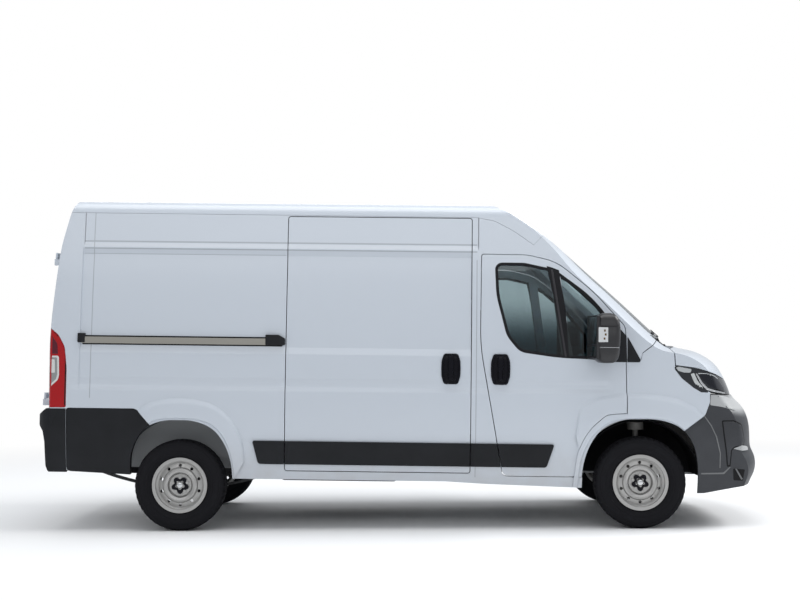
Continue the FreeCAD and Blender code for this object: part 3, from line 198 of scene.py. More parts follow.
# Body shell: pressed steel walls, roof, doors, bonnet and wings in one pale solid colour.
# The paint has a fine peel, soft pressed folds along the waist, thin darker lines that are
# partly sealed joints and partly painted shade along the folds' creases, and a little road film low down.
PAINT_COLOUR = (0.535, 0.580, 0.640)
PAINT_FILM = (0.47, 0.48, 0.50)
FILM_TOP = 0.75
FILM_FULL = 0.30
PEEL_SCALE = 9.0
PEEL_DEPTH = 0.0006
RAKE = math.radians(1.12)
PIVOT = Vector((0.0335, 0.0, 0.34))
TIP = Matrix.Translation(PIVOT) @ Matrix.Rotation(RAKE, 4, "Y") @ Matrix.Translation(-PIVOT)
# Folds: lowest and highest z at the middle of the van, rise along x, depth, x range
FOLDS = (
    (1.016, 1.066, 0.004, -0.0110, -2.44, 1.46),
    (1.082, 1.128, 0.004, 0.0070, -2.44, 1.46),
    (2.092, 2.136, 0.0, -0.0210, -2.44, 0.53),
)
# Darker lines, partly sealed joints and partly painted shade along the folds' creases: upright or level, its place,
# half width, and the range along it
SHADE_AND_JOINT_LINES = (
    ("x", -2.372, 0.0026, 0.96, 2.41), ("x", 0.524, 0.0026, 0.40, 2.02),
    ("z", 2.139, 0.0045, -2.44, 0.52), ("z", 2.086, 0.0040, -2.44, 0.52), ("z", 2.046, 0.0016, -2.44, -0.92),
)
SHADE_AND_JOINT_DARK = 0.42
SHADE_AND_JOINT_COLOUR = (0.10, 0.11, 0.12)
SIDE_FROM = 0.90


def noise(tree, scale, detail=2.0):
    """Noise in the object's own co-ordinates."""
    return add_node(tree, "TexNoise", {"Vector": own_place(tree), "Scale": scale, "Detail": detail}).outputs["Fac"]


def relief(tree, shader, height, depth):
    """Raises a surface by a height."""
    bump = add_node(tree, "Bump", {"Distance": depth, "Height": height})
    feed(tree, shader, {"Normal": bump.outputs["Normal"]})


def between(tree, value, start, end, soft):
    """1 inside a range and 0 outside it, with soft ends."""
    return product(tree, ramp_up(tree, value, start - soft, start), ramp_up(tree, value, end + soft, end))


def blend(tree, factor, first, second):
    """Two colours mixed."""
    return add_node(tree, "Mix", {"Factor": factor, "A": first, "B": second}, data_type="RGBA").outputs["Result"]


def level_place(tree):
    """X, Y and Z in the body's own level frame."""
    back = TIP.inverted()
    level = add_node(tree, "Mapping", {
        "Vector": own_place(tree), "Rotation": back.to_euler(), "Location": back.to_translation(),
    })
    parts = add_node(tree, "SeparateXYZ", {"Vector": level.outputs["Vector"]})
    return parts.outputs["X"], parts.outputs["Y"], parts.outputs["Z"]


def body_paint(name, pressed):
    """Gloss paint with a film of dust towards the sills, and on the sides folds, and darker lines that are partly
    joints and partly painted crease shade.
    """
    material, tree, shader = new_material(name, {"Roughness": 0.30, "Coat Weight": 0.5, "Coat Roughness": 0.10})
    x, y, z = level_place(tree)
    grain = noise(tree, PEEL_SCALE)
    height = product(tree, grain, PEEL_DEPTH)
    film = product(tree, ramp_up(tree, z, FILM_TOP, FILM_FULL), grain)
    colour = blend(tree, film, PAINT_COLOUR, PAINT_FILM)
    if pressed:
        side = ramp_up(tree, reckon(tree, "ABSOLUTE", y), SIDE_FROM - 0.02, SIDE_FROM)
        for low, high, rise, depth, x0, x1 in FOLDS:
            along = between(tree, x, x0, x1, 0.12 if x1 > 1.0 else 0.01)
            tilted = reckon(tree, "SUBTRACT", z, product(tree, x, rise))
            bend = product(tree, product(tree, ramp_up(tree, tilted, low, high), along), side)
            height = reckon(tree, "ADD", height, product(tree, bend, depth))
        # Painted shade: thin darker lines along the creases at the folds' edges, and at the sealed joints.
        lines = 0.0
        for way, at, half, start, end in SHADE_AND_JOINT_LINES:
            across, along = (x, z) if way == "x" else (z, x)
            off = reckon(tree, "ABSOLUTE", reckon(tree, "SUBTRACT", across, at))
            line = product(tree, ramp_up(tree, off, half * 1.8, half * 0.6), between(tree, along, start, end, 0.01))
            lines = reckon(tree, "MAXIMUM", lines, line)
        lines = product(tree, product(tree, lines, side), SHADE_AND_JOINT_DARK)
        colour = blend(tree, lines, colour, SHADE_AND_JOINT_COLOUR)
    relief(tree, shader, height, 1.0)
    feed(tree, shader, {"Base Color": colour})
    return material


def dress(material, slot, *names):
    """Gives CAD nodes their finish."""
    for name in names:
        mesh = nodes[name].data
        mesh.materials.clear()
        mesh.materials.append(material)


PAINT = body_paint("body_paint", False)
PRESSED_AND_SHADED = body_paint("pressed_paint_with_crease_shade", True)
dress(PAINT, "body_paint", "roof", "rear_door_right", "rear_door_left", "bonnet", "front_wings")
dress(PRESSED_AND_SHADED, "body_paint", "side_wall_left", "side_wall_right", "cab_door_right", "cab_door_left", "sliding_door")
dress(PAINT, "hinge_paint", "rear_hinges")

# Bumpers, strips, handles, mirrors, scuttle and grille: charcoal plastic with a moulded grain,
# clipped or screwed to the body. The front bumper's upper faces carry painted light: they are pale where they face
# up.
GRAIN_COLOUR = (0.005, 0.006, 0.008)
GRAIN_WORN = (0.010, 0.011, 0.014)
BUMPER_COLOUR = (0.034, 0.036, 0.041)
BUMPER_WORN = (0.050, 0.053, 0.060)
# Painted light: the pale colour of the bumper's upper faces, with the heights and slopes where it shows.
BUMPER_TOP_LIGHT = (0.42, 0.43, 0.435)
RUB_SCALE = 3.0
RUB_DETAIL = 5.0
RUB_RANGE = (0.35, 0.75)
TOP_LIGHT_Z = (0.80, 0.88)
TOP_LIGHT_SLOPE = (0.30, 0.62)


def moulded_plastic(name, low, high, roughness, scale=420.0, depth=0.0004, shine=0.25, top=None):
    """Grained plastic, a little paler where it is rubbed, and with painted light where it faces up."""
    material, tree, shader = new_material(name, {"Roughness": roughness, "Specular IOR Level": shine})
    relief(tree, shader, noise(tree, scale), depth)
    ramp = add_node(tree, "ValToRGB", {"Fac": noise(tree, RUB_SCALE, RUB_DETAIL)})
    for end, at, tone in zip(ramp.color_ramp.elements, RUB_RANGE, (low, high)):
        end.position = at
        end.color = (*tone, 1.0)
    colour = ramp.outputs["Color"]
    # Painted light: high faces that face up are mixed towards the pale top colour.
    if top:
        facing = add_node(tree, "NewGeometry").outputs["Normal"]
        parts = add_node(tree, "SeparateXYZ", {"Vector": facing})
        upper = ramp_up(tree, level_place(tree)[2], *TOP_LIGHT_Z)
        faces_up = ramp_up(tree, parts.outputs["Z"], *TOP_LIGHT_SLOPE)
        colour = blend(tree, product(tree, faces_up, upper), colour, top)
    feed(tree, shader, {"Base Color": colour})
    return material


DARK = moulded_plastic("charcoal_plastic", GRAIN_COLOUR, GRAIN_WORN, 0.52)
MIRROR_BLACK = moulded_plastic(
    "mirror_plastic", (0.014, 0.014, 0.016), (0.022, 0.022, 0.025), 0.38, 420.0, 0.0003, 0.5)
ARCH_BLACK = moulded_plastic(
    "arch_liner_black", (0.004, 0.004, 0.005), (0.010, 0.010, 0.011), 0.8, 160.0, 0.001, 0.05)
LINER = moulded_plastic("liner_plastic", (0.060, 0.068, 0.070), (0.105, 0.115, 0.120), 0.8, 160.0, 0.001)
DASH = moulded_plastic("dash_plastic", (0.030, 0.032, 0.036), (0.045, 0.047, 0.052), 0.6)
BUMPER_GREY = moulded_plastic("bumper_plastic", BUMPER_COLOUR, BUMPER_WORN, 0.50, 420.0, 0.0004, 0.3, BUMPER_TOP_LIGHT)
dress(DARK, "dark_plastic", "cab_trim_right", "cab_trim_left", "side_strips", "rear_bumper", "scuttle", "grille",
      "fuel_tank")
dress(ARCH_BLACK, "dark_plastic", "front_liners")
dress(BUMPER_GREY, "dark_plastic", "front_bumper")
dress(LINER, "liner_plastic", "rear_liners")
dress(DASH, "dash_plastic", "dashboard")
dress(DASH, "wheel_rim_plastic", "steering_wheel")

# Glass: tinted panes bonded in their rebates, and clear and red moulded lenses on the lamps.
# The cab's panes have painted reflection and shade in their tint: pale at the top and darker in their lower part,
# where the real ones show the dark cab.
PANE_IOR = 1.45


def pane(name, colour, roughness, transmission):
    """A thin clear or coloured pane."""
    return new_material(name, {
        "Base Color": colour, "Roughness": roughness, "Transmission Weight": transmission, "IOR": PANE_IOR,
    })[0]


def shaded_window_pane(name, painted_reflection_colour, painted_shade_colour, low, high):
    """Tinted glass with painted reflection and shade: pale at the top, darker in its lower part."""
    material, tree, shader = new_material(name, {"Roughness": 0.0, "Transmission Weight": 1.0, "IOR": PANE_IOR})
    tint = blend(tree, ramp_up(tree, level_place(tree)[2], low, high), painted_shade_colour, painted_reflection_colour)
    feed(tree, shader, {"Base Color": tint})
    return material


WINDOW = shaded_window_pane("window_glass", (0.66, 0.76, 0.77), (0.08, 0.14, 0.16), 1.36, 1.80)
LENS = pane("headlamp_lens", (0.020, 0.022, 0.026), 0.04, 0.0)
RED = pane("tail_lens", (0.36, 0.001, 0.004), 0.16, 0.0)
dress(WINDOW, "window_glass", "windscreen", "cab_glass_right", "cab_glass_left")
dress(LENS, "headlamp_lens", "headlamps")
dress(RED, "tail_lens", "tail_lamps")


# Plain metals and coatings: the rail, wheels and exhaust are bare or silver metal, the frames
# and floor are painted steel, and the spare tyre is rubber. All are bolted or welded on.
def metal(name, colour, metallic, roughness, scale, depth, shine=0.5):
    """Metal or paint on metal with a fine relief and slightly uneven gloss."""
    material, tree, shader = new_material(name, {
        "Base Color": colour, "Metallic": metallic, "Specular IOR Level": shine,
    })
    grain = noise(tree, scale)
    relief(tree, shader, grain, depth)
    worn = add_node(tree, "MapRange", {
        "Value": grain, "To Min": roughness * 0.85, "To Max": min(roughness * 1.15, 1.0),
    })
    feed(tree, shader, {"Roughness": worn.outputs["Result"]})
    return material


RAIL = metal("rail_metal", (0.30, 0.29, 0.26), 0.5, 0.42, 60.0, 0.0003)
STEEL = metal("wheel_steel", (0.40, 0.395, 0.385), 0.75, 0.36, 90.0, 0.0004)
BLACK_COAT = metal("chassis_black", (0.030, 0.030, 0.032), 0.0, 0.6, 120.0, 0.0008)
FLOOR_COAT = metal("floor_paint", (0.30, 0.31, 0.32), 0.0, 0.6, 40.0, 0.0008)
CAST = metal("cast_metal", (0.16, 0.155, 0.15), 0.7, 0.62, 180.0, 0.0012)
EXHAUST = metal("exhaust_steel", (0.36, 0.34, 0.31), 0.85, 0.5, 40.0, 0.001)
RUBBER = metal("tyre_rubber", (0.012, 0.012, 0.014), 0.0, 0.82, 300.0, 0.0006, 0.08)
CLOTH = metal("seat_cloth", (0.06, 0.063, 0.07), 0.0, 0.9, 500.0, 0.001)
dress(RAIL, "rail_metal", "door_rail")
dress(BLACK_COAT, "chassis_black", "seat_bases", "front_subframe", "rear_axle")
dress(FLOOR_COAT, "floor_paint", "floor", "bulkhead")
dress(CAST, "cast_metal", "knuckle_right", "knuckle_left")
dress(CAST, "engine_metal", "engine")
dress(EXHAUST, "exhaust_steel", "exhaust")
dress(RUBBER, "tyre_rubber", "spare_wheel")
dress(CLOTH, "seat_fabric", "driver_seat", "bench_seat")
for corner in ("front_right", "front_left", "rear_right", "rear_left"):
    dress(RUBBER, "tyre_rubber", "tyre_" + corner)
    dress(STEEL, "wheel_steel", "wheel_" + corner)

# Cab door windows: black rubber seal all round, a black bar between the two panes,
# and the black corner cover that the mirror stands on, in two parts across the door's gap.
CAB_WINDOW = (
    (660, 2006, 50), (672, 1760, 600), (752, 1455, 200), (850, 1338, 120),
    (1130, 1300, 1500), (1592, 1282, 25), (1588, 1500, 60), (1384, 1757, 900),
    (1109, 1958, 120), (881, 2006, 200),
)
WINDOW_BAR = (
    (1046, 1986), (1076, 1862), (1129, 1598), (1176, 1300), (1216, 1298), (1202, 1480),
    (1187, 1683), (1148, 1888), (1140, 1955), (1090, 1974),
)
BAR_BACK = ((1066, 1972), (1126, 1944), (1250, 1292), (1160, 1296))
BAR_RIB = ((1078, 1964, 4), (1094, 1958, 4), (1198, 1306, 4), (1184, 1306, 4))
FRONT_BORDER = (
    (1120, 1958), (1236, 1884), (1350, 1784), (1426, 1704), (1520, 1590), (1486, 1586),
    (1410, 1678), (1298, 1782), (1201, 1864), (1146, 1894),
)
SAIL_DOOR = ((1548, 1270, 8), (1647.5, 1270), (1643.5, 1466), (1570, 1548, 12))
SAIL_PILLAR = ((1651.5, 1270), (1746, 1270, 12), (1748, 1290, 10), (1651.5, 1464, 3))
SIDES = (("right", -1.0), ("left", 1.0))
WINDOW_FOOT = -9.5
SAIL_LIFTS = (-2.0, 7.0)
BELT_Z = 950
BELT_HALF = 1025
SHARP_ANGLE = 0.8


def in_row(x, y, z):
    """A body-frame point in millimetres, tipped into the ground's frame in metres."""
    return TIP @ Vector((x / 1000, y / 1000, z / 1000))


def skin(x, z, lift, side):
    """A point on the body's side, raised from its painted skin by a lift in millimetres."""
    drop = 43 * ((z - BELT_Z) / 1000) ** 2 if z > BELT_Z else 90 * ((BELT_Z - z) / 650) ** 2
    return in_row(x, side * (BELT_HALF - drop + lift), z)


def rounded(corners, steps=6):
    """Points along a closed outline of (u, v, radius) corners, or of (u, v) where they are sharp."""
    points = []
    count = len(corners)
    for index, (u, v, *radius) in enumerate(corners):
        here = Vector((u, v))
        if not radius or radius[0] == 0:
            points.append(here)
            continue
        radius = radius[0]
        before = (Vector(corners[index - 1][:2]) - here).normalized()
        after = (Vector(corners[(index + 1) % count][:2]) - here).normalized()
        half = before.angle(after) / 2
        centre = here + (before + after).normalized() * (radius / math.sin(half))
        start = here + before * (radius / math.tan(half)) - centre
        end = here + after * (radius / math.tan(half)) - centre
        first = math.atan2(start.y, start.x)
        sweep = (math.atan2(end.y, end.x) - first + math.pi) % (2 * math.pi) - math.pi
        for step in range(steps + 1):
            angle = first + sweep * step / steps
            points.append(centre + Vector((math.cos(angle), math.sin(angle))) * radius)
    return points


def shrunk(points, distance):
    """The outline moved inwards by a distance."""
    count = len(points)
    area = sum(points[i - 1].x * points[i].y - points[i].x * points[i - 1].y for i in range(count))
    turn = 1 if area > 0 else -1
    moved = []
    for index, point in enumerate(points):
        along = (points[(index + 1) % count] - points[index - 1]).normalized()
        moved.append(point + Vector((-along.y, along.x)) * distance * turn)
    return moved


def flat_outline(bm, points):
    """A ring of edges through the points, lying in the van's side plane."""
    ring = [bm.verts.new((p.x, 0.0, p.y)) for p in points]
    return [bm.edges.new((ring[i - 1], ring[i])) for i in range(len(ring))]


def verts_of(geometry):
    """The vertices among some mesh elements."""
    return [v for v in geometry if isinstance(v, bmesh.types.BMVert)]


def soften(bm, edges, width, segments=3):
    """Rounds some edges."""
    bmesh.ops.bevel(bm, geom=edges, offset=width, segments=segments, profile=0.5, affect="EDGES", material=-1)


def raise_slab(bm, low, high, side, place, bevel):
    """Turns flat faces into a slab that follows a surface between two lifts."""
    grown = bmesh.ops.extrude_face_region(bm, geom=bm.faces[:], use_keep_orig=True)
    top = set(verts_of(grown["geom"]))
    for vert in bm.verts:
        vert.co = place(vert.co.x, vert.co.z, high if vert in top else low, side)
    bmesh.ops.recalc_face_normals(bm, faces=bm.faces)
    if bevel:
        rim = [e for e in bm.edges if len(e.link_faces) == 2 and all(v in top for v in e.verts)
               and e.calc_face_angle(0.0) > SHARP_ANGLE]
        soften(bm, rim, bevel / 1000, 2)


def slab(corners, low, high, side, place=skin, cell=60.0, bevel=1.0):
    """A thin piece with a side-view outline, lying on a surface."""
    bm = bmesh.new()
    bmesh.ops.contextual_create(bm, geom=flat_outline(bm, rounded(corners)))
    for axis, across in ((0, Vector((1.0, 0.0, 0.0))), (2, Vector((0.0, 0.0, 1.0)))):
        values = [v.co[axis] for v in bm.verts]
        cut = (int(min(values) / cell) + 1) * cell
        while cut < max(values):
            whole = bm.verts[:] + bm.edges[:] + bm.faces[:]
            bmesh.ops.bisect_plane(bm, geom=whole, plane_co=across * cut, plane_no=across)
            cut += cell
    raise_slab(bm, low, high, side, place, bevel)
    return bm


def band(outer, inner, low, high, side, bevel):
    """A thin ring between two outlines, lying on the body's side."""
    bm = bmesh.new()
    bmesh.ops.bridge_loops(bm, edges=flat_outline(bm, outer) + flat_outline(bm, inner))
    raise_slab(bm, low, high, side, skin, bevel)
    return bm


def add_piece(name, bm, material, body, sharp=38.0):
    """Makes a finished piece of a mesh, shaded smooth up to its sharp edges."""
    mesh = bpy.data.meshes.new(name)
    bm.to_mesh(mesh)
    bm.free()
    for polygon in mesh.polygons:
        polygon.use_smooth = True
    mesh.set_sharp_from_angle(angle=math.radians(sharp))
    mesh.materials.append(material)
    piece = link_object(name, mesh)
    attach(piece, body)
    return piece


def join(*parts):
    """Several meshes as one."""
    whole = bmesh.new()
    for part in parts:
        spare = bpy.data.meshes.new("joined")
        part.to_mesh(spare)
        part.free()
        whole.from_mesh(spare)
        bpy.data.meshes.remove(spare)
    return whole


def lay(name, lines, lifts, side, material, body="body", place=skin, cell=60.0, bevel=1.0):
    """One piece of slabs with the same two lifts."""
    slabs = [slab(line, *lifts, side, place, cell, bevel) for line in lines]
    return add_piece(name, join(*slabs), material, body)


SEAL = metal("seal_rubber", (0.007, 0.007, 0.009), 0.0, 0.55, 260.0, 0.0003, 0.2)
RIB_GREY = moulded_plastic("bar_rib", (0.030, 0.029, 0.033), (0.038, 0.037, 0.041), 0.4)
FRIT = metal("printed_glass", (0.012, 0.017, 0.018), 0.0, 0.08, 20.0, 0.00002)
window_line = rounded(CAB_WINDOW)
for name, side in SIDES:
    door = "cab_door_" + name
    frame_ring = band(shrunk(window_line, -3.0), shrunk(window_line, 20.0), WINDOW_FOOT, 0.8, side, 2.0)
    bar = slab(WINDOW_BAR, WINDOW_FOOT, 1.6, side)
    border = slab(FRONT_BORDER, WINDOW_FOOT, -6.0, side, bevel=0.0)
    add_piece("window_seal_" + name, join(frame_ring, bar, border), SEAL, door)
    lay("window_bar_rib_" + name, [BAR_RIB], (1.6, 3.4), side, RIB_GREY, door)
    lay("window_bar_back_" + name, [BAR_BACK], (WINDOW_FOOT, 0.5), side, FRIT, door, bevel=0.0)
    lay("mirror_cover_" + name, [SAIL_DOOR], SAIL_LIFTS, side, DARK, door, bevel=3.0)
    lay("pillar_cover_" + name, [SAIL_PILLAR], SAIL_LIFTS, side, DARK, bevel=3.0)

# Mirrors: a moulded housing in three parts on a broad arm, with two mirror glasses,
# a clear side repeater in the housing's outer face and a bright joint line under it.
MIRROR_ROWS = (
    (1262, 1440, 1490, -1270, -1150), (1265, 1416, 1512, -1298, -1122), (1276, 1398, 1530, -1318, -1102),
    (1300, 1384, 1545, -1332, -1088), (1340, 1376, 1554, -1340, -1080), (1370, 1374, 1557, -1342, -1078),
    (1374, 1378, 1553, -1338, -1082), (1379, 1378, 1553, -1338, -1082), (1382, 1376, 1557, -1341, -1079),
    (1440, 1378, 1560, -1342, -1078), (1526, 1380, 1560, -1341, -1079), (1530, 1384, 1556, -1338, -1082),
    (1534, 1379, 1558, -1342, -1078), (1575, 1383, 1552, -1338, -1082), (1602, 1394, 1538, -1326, -1094),
    (1619, 1411, 1518, -1306, -1114), (1628, 1436, 1492, -1276, -1144),
)
ARM_ROWS = (
    (-1085, 1462, 1548, 1322, 1392), (-1060, 1468, 1560, 1316, 1386),
    (-1030, 1480, 1590, 1302, 1372), (-1006, 1492, 1606, 1290, 1358),
)
MIRROR_SQUARENESS = 4.5
MIRROR_STEPS = 56
GLASS_PLACES = ((1400, 1598), (1300, 1384))
GLASS_PLAN = ((1378, -1330), (1378, -1322), (1342, -1108), (1340, -1110))
SHROUD_PLAN = ((1380, -1336), (1400, -1336), (1400, -1086), (1340, -1092), (1346, -1104))
SHROUD_HEIGHTS = (1290, 1608)
REPEATER = (1392, 1462, -1342.2, -1335, 1414, 1522)
CELLS = ((1428, 1432), (1436, 1462), (1430, 1490))
MIRROR_LINE = (1382, 1555, -1341, -1080)


def rounded_ring(x0, x1, y0, y1, z, power=MIRROR_SQUARENESS, steps=MIRROR_STEPS):
    """Points of a level ring that is nearly a rectangle."""
    ring = []
    for step in range(steps):
        angle = 2 * math.pi * step / steps
        c = math.cos(angle)
        s = math.sin(angle)
        u = math.copysign(abs(c) ** (2 / power), c)
        v = math.copysign(abs(s) ** (2 / power), s)
        ring.append(Vector(((x0 + x1) / 2 + u * (x1 - x0) / 2, (y0 + y1) / 2 + v * (y1 - y0) / 2, z)))
    return ring


def loft(rows, closed=True):
    """A skin through rows of points: closed rings with their two ends filled, or open rows."""
    bm = bmesh.new()
    verts = [bm.verts.new(p) for p in rows[0]]
    edges = [bm.edges.new((verts[i - 1], verts[i])) for i in range(0 if closed else 1, len(verts))]
    if closed:
        bmesh.ops.contextual_create(bm, geom=edges)
    for row in rows[1:]:
        grown = bmesh.ops.extrude_edge_only(bm, edges=edges)["geom"]
        fresh = verts_of(grown)
        edges = [e for e in grown if isinstance(e, bmesh.types.BMEdge) and all(v in fresh for v in e.verts)]
        for vert, point in zip(fresh, row):
            vert.co = point
    if closed:
        bmesh.ops.contextual_create(bm, geom=edges)
    bmesh.ops.recalc_face_normals(bm, faces=bm.faces)
    return bm


def level_prism(plan, heights):
    """A level outline drawn up between two heights."""
    return loft([[Vector((x, y, z)) for x, y in plan] for z in heights])


def placed(bm, side=-1.0):
    """Takes a right-side mesh in body millimetres to its place, on either side."""
    scale = Matrix.Diagonal((0.001, -0.001 * side, 0.001, 1.0))
    bmesh.ops.transform(bm, matrix=TIP @ scale, verts=bm.verts)
    bmesh.ops.recalc_face_normals(bm, faces=bm.faces)
    return bm


def block(x0, x1, y0, y1, z0, z1, bevel):
    """A block in body millimetres with rounded edges."""
    bm = bmesh.new()
    bmesh.ops.create_cube(bm, size=1.0)
    bmesh.ops.scale(bm, vec=(x1 - x0, y1 - y0, z1 - z0), verts=bm.verts)
    bmesh.ops.translate(bm, vec=((x0 + x1) / 2, (y0 + y1) / 2, (z0 + z1) / 2), verts=bm.verts)
    soften(bm, bm.edges[:], bevel)
    return bm


MIRROR_GLASS = metal("mirror_glass", (0.75, 0.78, 0.80), 1.0, 0.03, 4.0, 0.00001)
AMBER = pane("amber_cell", (0.10, 0.055, 0.012), 0.2, 0.0)
CLEAR = pane("clear_lens", (0.90, 0.92, 0.93), 0.08, 0.35)
BRIGHT = metal("bright_trim", (0.62, 0.63, 0.64), 0.9, 0.22, 30.0, 0.0001)
for name, side in SIDES:
    door = "cab_door_" + name
    housing = loft([rounded_ring(x0, x1, y0, y1, z) for z, x0, x1, y0, y1 in MIRROR_ROWS])
    arm = loft([[Vector((p.x, y, p.y)) for p in rounded_ring(x0, x1, z0, z1, 0, 3.2, 32)]
                for y, x0, x1, z0, z1 in ARM_ROWS])
    whole = join(housing, arm, level_prism(SHROUD_PLAN, SHROUD_HEIGHTS))
    shell = add_piece("mirror_housing_" + name, placed(whole, side), MIRROR_BLACK, door)
    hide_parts("cab_trim_" + name)
    panes = join(*[level_prism(GLASS_PLAN, heights) for heights in GLASS_PLACES])
    add_piece("mirror_glass_" + name, placed(panes, side), MIRROR_GLASS, door)
    lens = block(*REPEATER, 3.0)
    add_piece("side_repeater_" + name, placed(lens, side), CLEAR, door)
    cells = join(*[block(x, x + 13, -1342.35, -1341.0, z, z + 16, 0.4) for x, z in CELLS])
    add_piece("repeater_cells_" + name, placed(cells, side), AMBER, door)
    line = loft([rounded_ring(*MIRROR_LINE, z) for z in (1374.5, 1378.5)])
    add_piece("mirror_line_" + name, placed(line, side), BRIGHT, door)

# Cab door handles: a barrel-shaped bezel with a hollow on each side of an upright pull,
# and the rub strip along the foot of the door, all in grained black.
HANDLE_OUTLINE = (
    (652, 1090, 22), (757, 1090, 22), (775, 1150, 60), (777, 1205, 200), (775, 1262, 60),
    (757, 1319, 22), (652, 1319, 22), (634, 1262, 60), (632, 1205, 200), (634, 1150, 60),
)
CAB_STRIP = ((721, 475, 3), (1056, 475, 25), (1112, 650, 12), (689, 650, 3))
BODY_STRIPS = (
    ((-1103, 475, 25), (-908, 475, 3), (-908, 650, 3), (-1147, 650, 12)),
    ((-902, 475, 3), (483, 475, 3), (483, 650, 3), (-902, 650, 3)),
    ((489, 475, 3), (714, 475, 3), (682, 650, 3), (489, 650, 3)),
)
SLIDE_HANDLE_SHIFT = -370.5
SLIDE_HANDLE_DROP = -6.0
STRIP_LIFTS = (0.3, 18.0)


def handle_parts(shift, seat, side):
    """Bezel, dished floor and pull of one handle, moved along the van."""
    corners = [(u + shift, v, radius) for u, v, radius in HANDLE_OUTLINE]
    points = rounded(corners)
    low, high = min(p.y for p in points), max(p.y for p in points)
    middle = (min(p.x for p in points) + max(p.x for p in points)) / 2
    bezel = band(points, shrunk(points, 15.0), seat, seat + 11.0, side, 3.0)
    dish = slab(shrunk(points, 14.0), seat, seat + 3.0, side)
    pull = (
        (middle - 17, low + 26, 10), (middle + 17, low + 26, 10),
        (middle + 22, high - 12, 14), (middle - 22, high - 12, 14),
    )
    return join(bezel, dish, slab(pull, seat + 2.0, seat + 26.0, side, bevel=7.0))


GLOSS_BLACK = metal("gloss_black", (0.003, 0.003, 0.006), 0.0, 0.28, 40.0, 0.0002, 0.15)
for name, side in SIDES:
    door = "cab_door_" + name
    add_piece("cab_handle_" + name, handle_parts(0, STRIP_LIFTS[0], side), GLOSS_BLACK, door)
    lay("cab_strip_" + name, [CAB_STRIP], STRIP_LIFTS, side, DARK, door, bevel=4.0)
    body_strips = lay("body_strips_" + name, BODY_STRIPS, STRIP_LIFTS, side, DARK, bevel=4.0)
    if name == "right":
        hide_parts("side_strips")
slide_handle = handle_parts(SLIDE_HANDLE_SHIFT, SLIDE_HANDLE_DROP, -1.0)
add_piece("sliding_door_handle", slide_handle, GLOSS_BLACK, "body")

# Tyres: 215 mm wide road tyres with four grooves, cut shoulder blocks and ribbed sidewalls.
# The rubber is dull all over, with slightly uneven gloss.
TYRE_STEPS = 90
TYRE_HALF = (
    (192.5, -70), (210.5, -71), (214, -80), (226, -92), (240, -100), (243, -103), (252, -105), (255, -103),
    (272, -107.5), (290, -107), (304, -102), (307, -104), (313, -101), (324, -94), (333, -84), (337, -76),
    (339.4, -66), (340, -56), (332, -54), (332, -46), (340, -44), (340, -24), (332, -22), (332, -14),
    (340, -12),
)
TYRE_PROFILE = TYRE_HALF + tuple((radius, -across) for radius, across in reversed(TYRE_HALF))
SHOULDER_REACH = (56.0, 96.0)
SHOULDER_RADIUS = 318
SIPE_DEPTH = 6.0
WHEEL_PLACES = {
    "front_right": (1758.5, -905.0), "front_left": (1758.5, 905.0),
    "rear_right": (-1691.5, -895.0), "rear_left": (-1691.5, 895.0),
}
TYRE_HUB_Z = 340.0


def spun(profile, steps):
    """A ring about the wheel's axle, from a closed profile of (radius, across) points."""
    bm = bmesh.new()
    verts = [bm.verts.new((0.0, across, radius)) for radius, across in profile]
    edges = [bm.edges.new((verts[i - 1], verts[i])) for i in range(len(verts))]
    bmesh.ops.spin(bm, geom=verts + edges, cent=(0, 0, 0), axis=(0, 1, 0), dvec=(0, 0, 0),
                   angle=2 * math.pi, steps=steps, use_merge=True, use_duplicate=False)
    bmesh.ops.remove_doubles(bm, verts=bm.verts, dist=0.001)
    bmesh.ops.recalc_face_normals(bm, faces=bm.faces)
    return bm


def at_wheel(bm, key):
    """Takes a mesh drawn about the axle to a wheel's place."""
    x, y = WHEEL_PLACES[key]
    moved = Matrix.Translation((x / 1000, y / 1000, TYRE_HUB_Z / 1000)) @ Matrix.Scale(0.001, 4)
    bmesh.ops.transform(bm, matrix=moved, verts=bm.verts)
    return bm


def tyre_mesh():
    """One tyre, with every other shoulder face sunk to make its blocks."""
    bm = spun(TYRE_PROFILE, TYRE_STEPS)
    cut = []
    for face in bm.faces:
        centre = face.calc_center_median()
        share = math.degrees(math.atan2(centre.x, centre.z)) / (360 / TYRE_STEPS)
        shoulder = SHOULDER_REACH[0] < abs(centre.y) < SHOULDER_REACH[1]
        if shoulder and math.hypot(centre.x, centre.z) > SHOULDER_RADIUS and math.floor(share) % 2 == 0:
            cut.append(face)
    sunk = bmesh.ops.extrude_face_region(bm, geom=cut)["geom"]
    bmesh.ops.delete(bm, geom=[f for f in cut if f.is_valid], context="FACES_ONLY")
    for vert in verts_of(sunk):
        radius = math.hypot(vert.co.x, vert.co.z)
        vert.co.x *= (radius - SIPE_DEPTH) / radius
        vert.co.z *= (radius - SIPE_DEPTH) / radius
    bmesh.ops.recalc_face_normals(bm, faces=bm.faces)
    return bm


for key in WHEEL_PLACES:
    tyre = add_piece("road_tyre_" + key, at_wheel(tyre_mesh(), key), RUBBER, "wheel_" + key, 30.0)
    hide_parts("tyre_" + key)

# Wheel centres: a black plastic cap whose five lobes fill the room between the wheel nuts,
# clipped over the hub, with a small bright boss in its middle.
CAP_STEPS = 100
CAP_ROWS = ((1.0, 52.0), (1.0, 67.0), (0.95, 70.0), (0.60, 70.0), (0.56, 66.0))
BOSS_PROFILE = ((0.01, 78), (16, 78), (20, 75), (21, 66), (0.01, 66))


def cap_ring(scale, across, side):
    """One outline of the lobed cap."""
    ring = []
    for step in range(CAP_STEPS):
        angle = 2 * math.pi * step / CAP_STEPS
        lobe = 0.5 + 0.5 * math.cos(5 * (angle - math.radians(36)))
        radius = (42 + 24 * lobe ** 0.7) * scale
        ring.append(Vector((radius * math.sin(angle), side * across, radius * math.cos(angle))))
    return ring


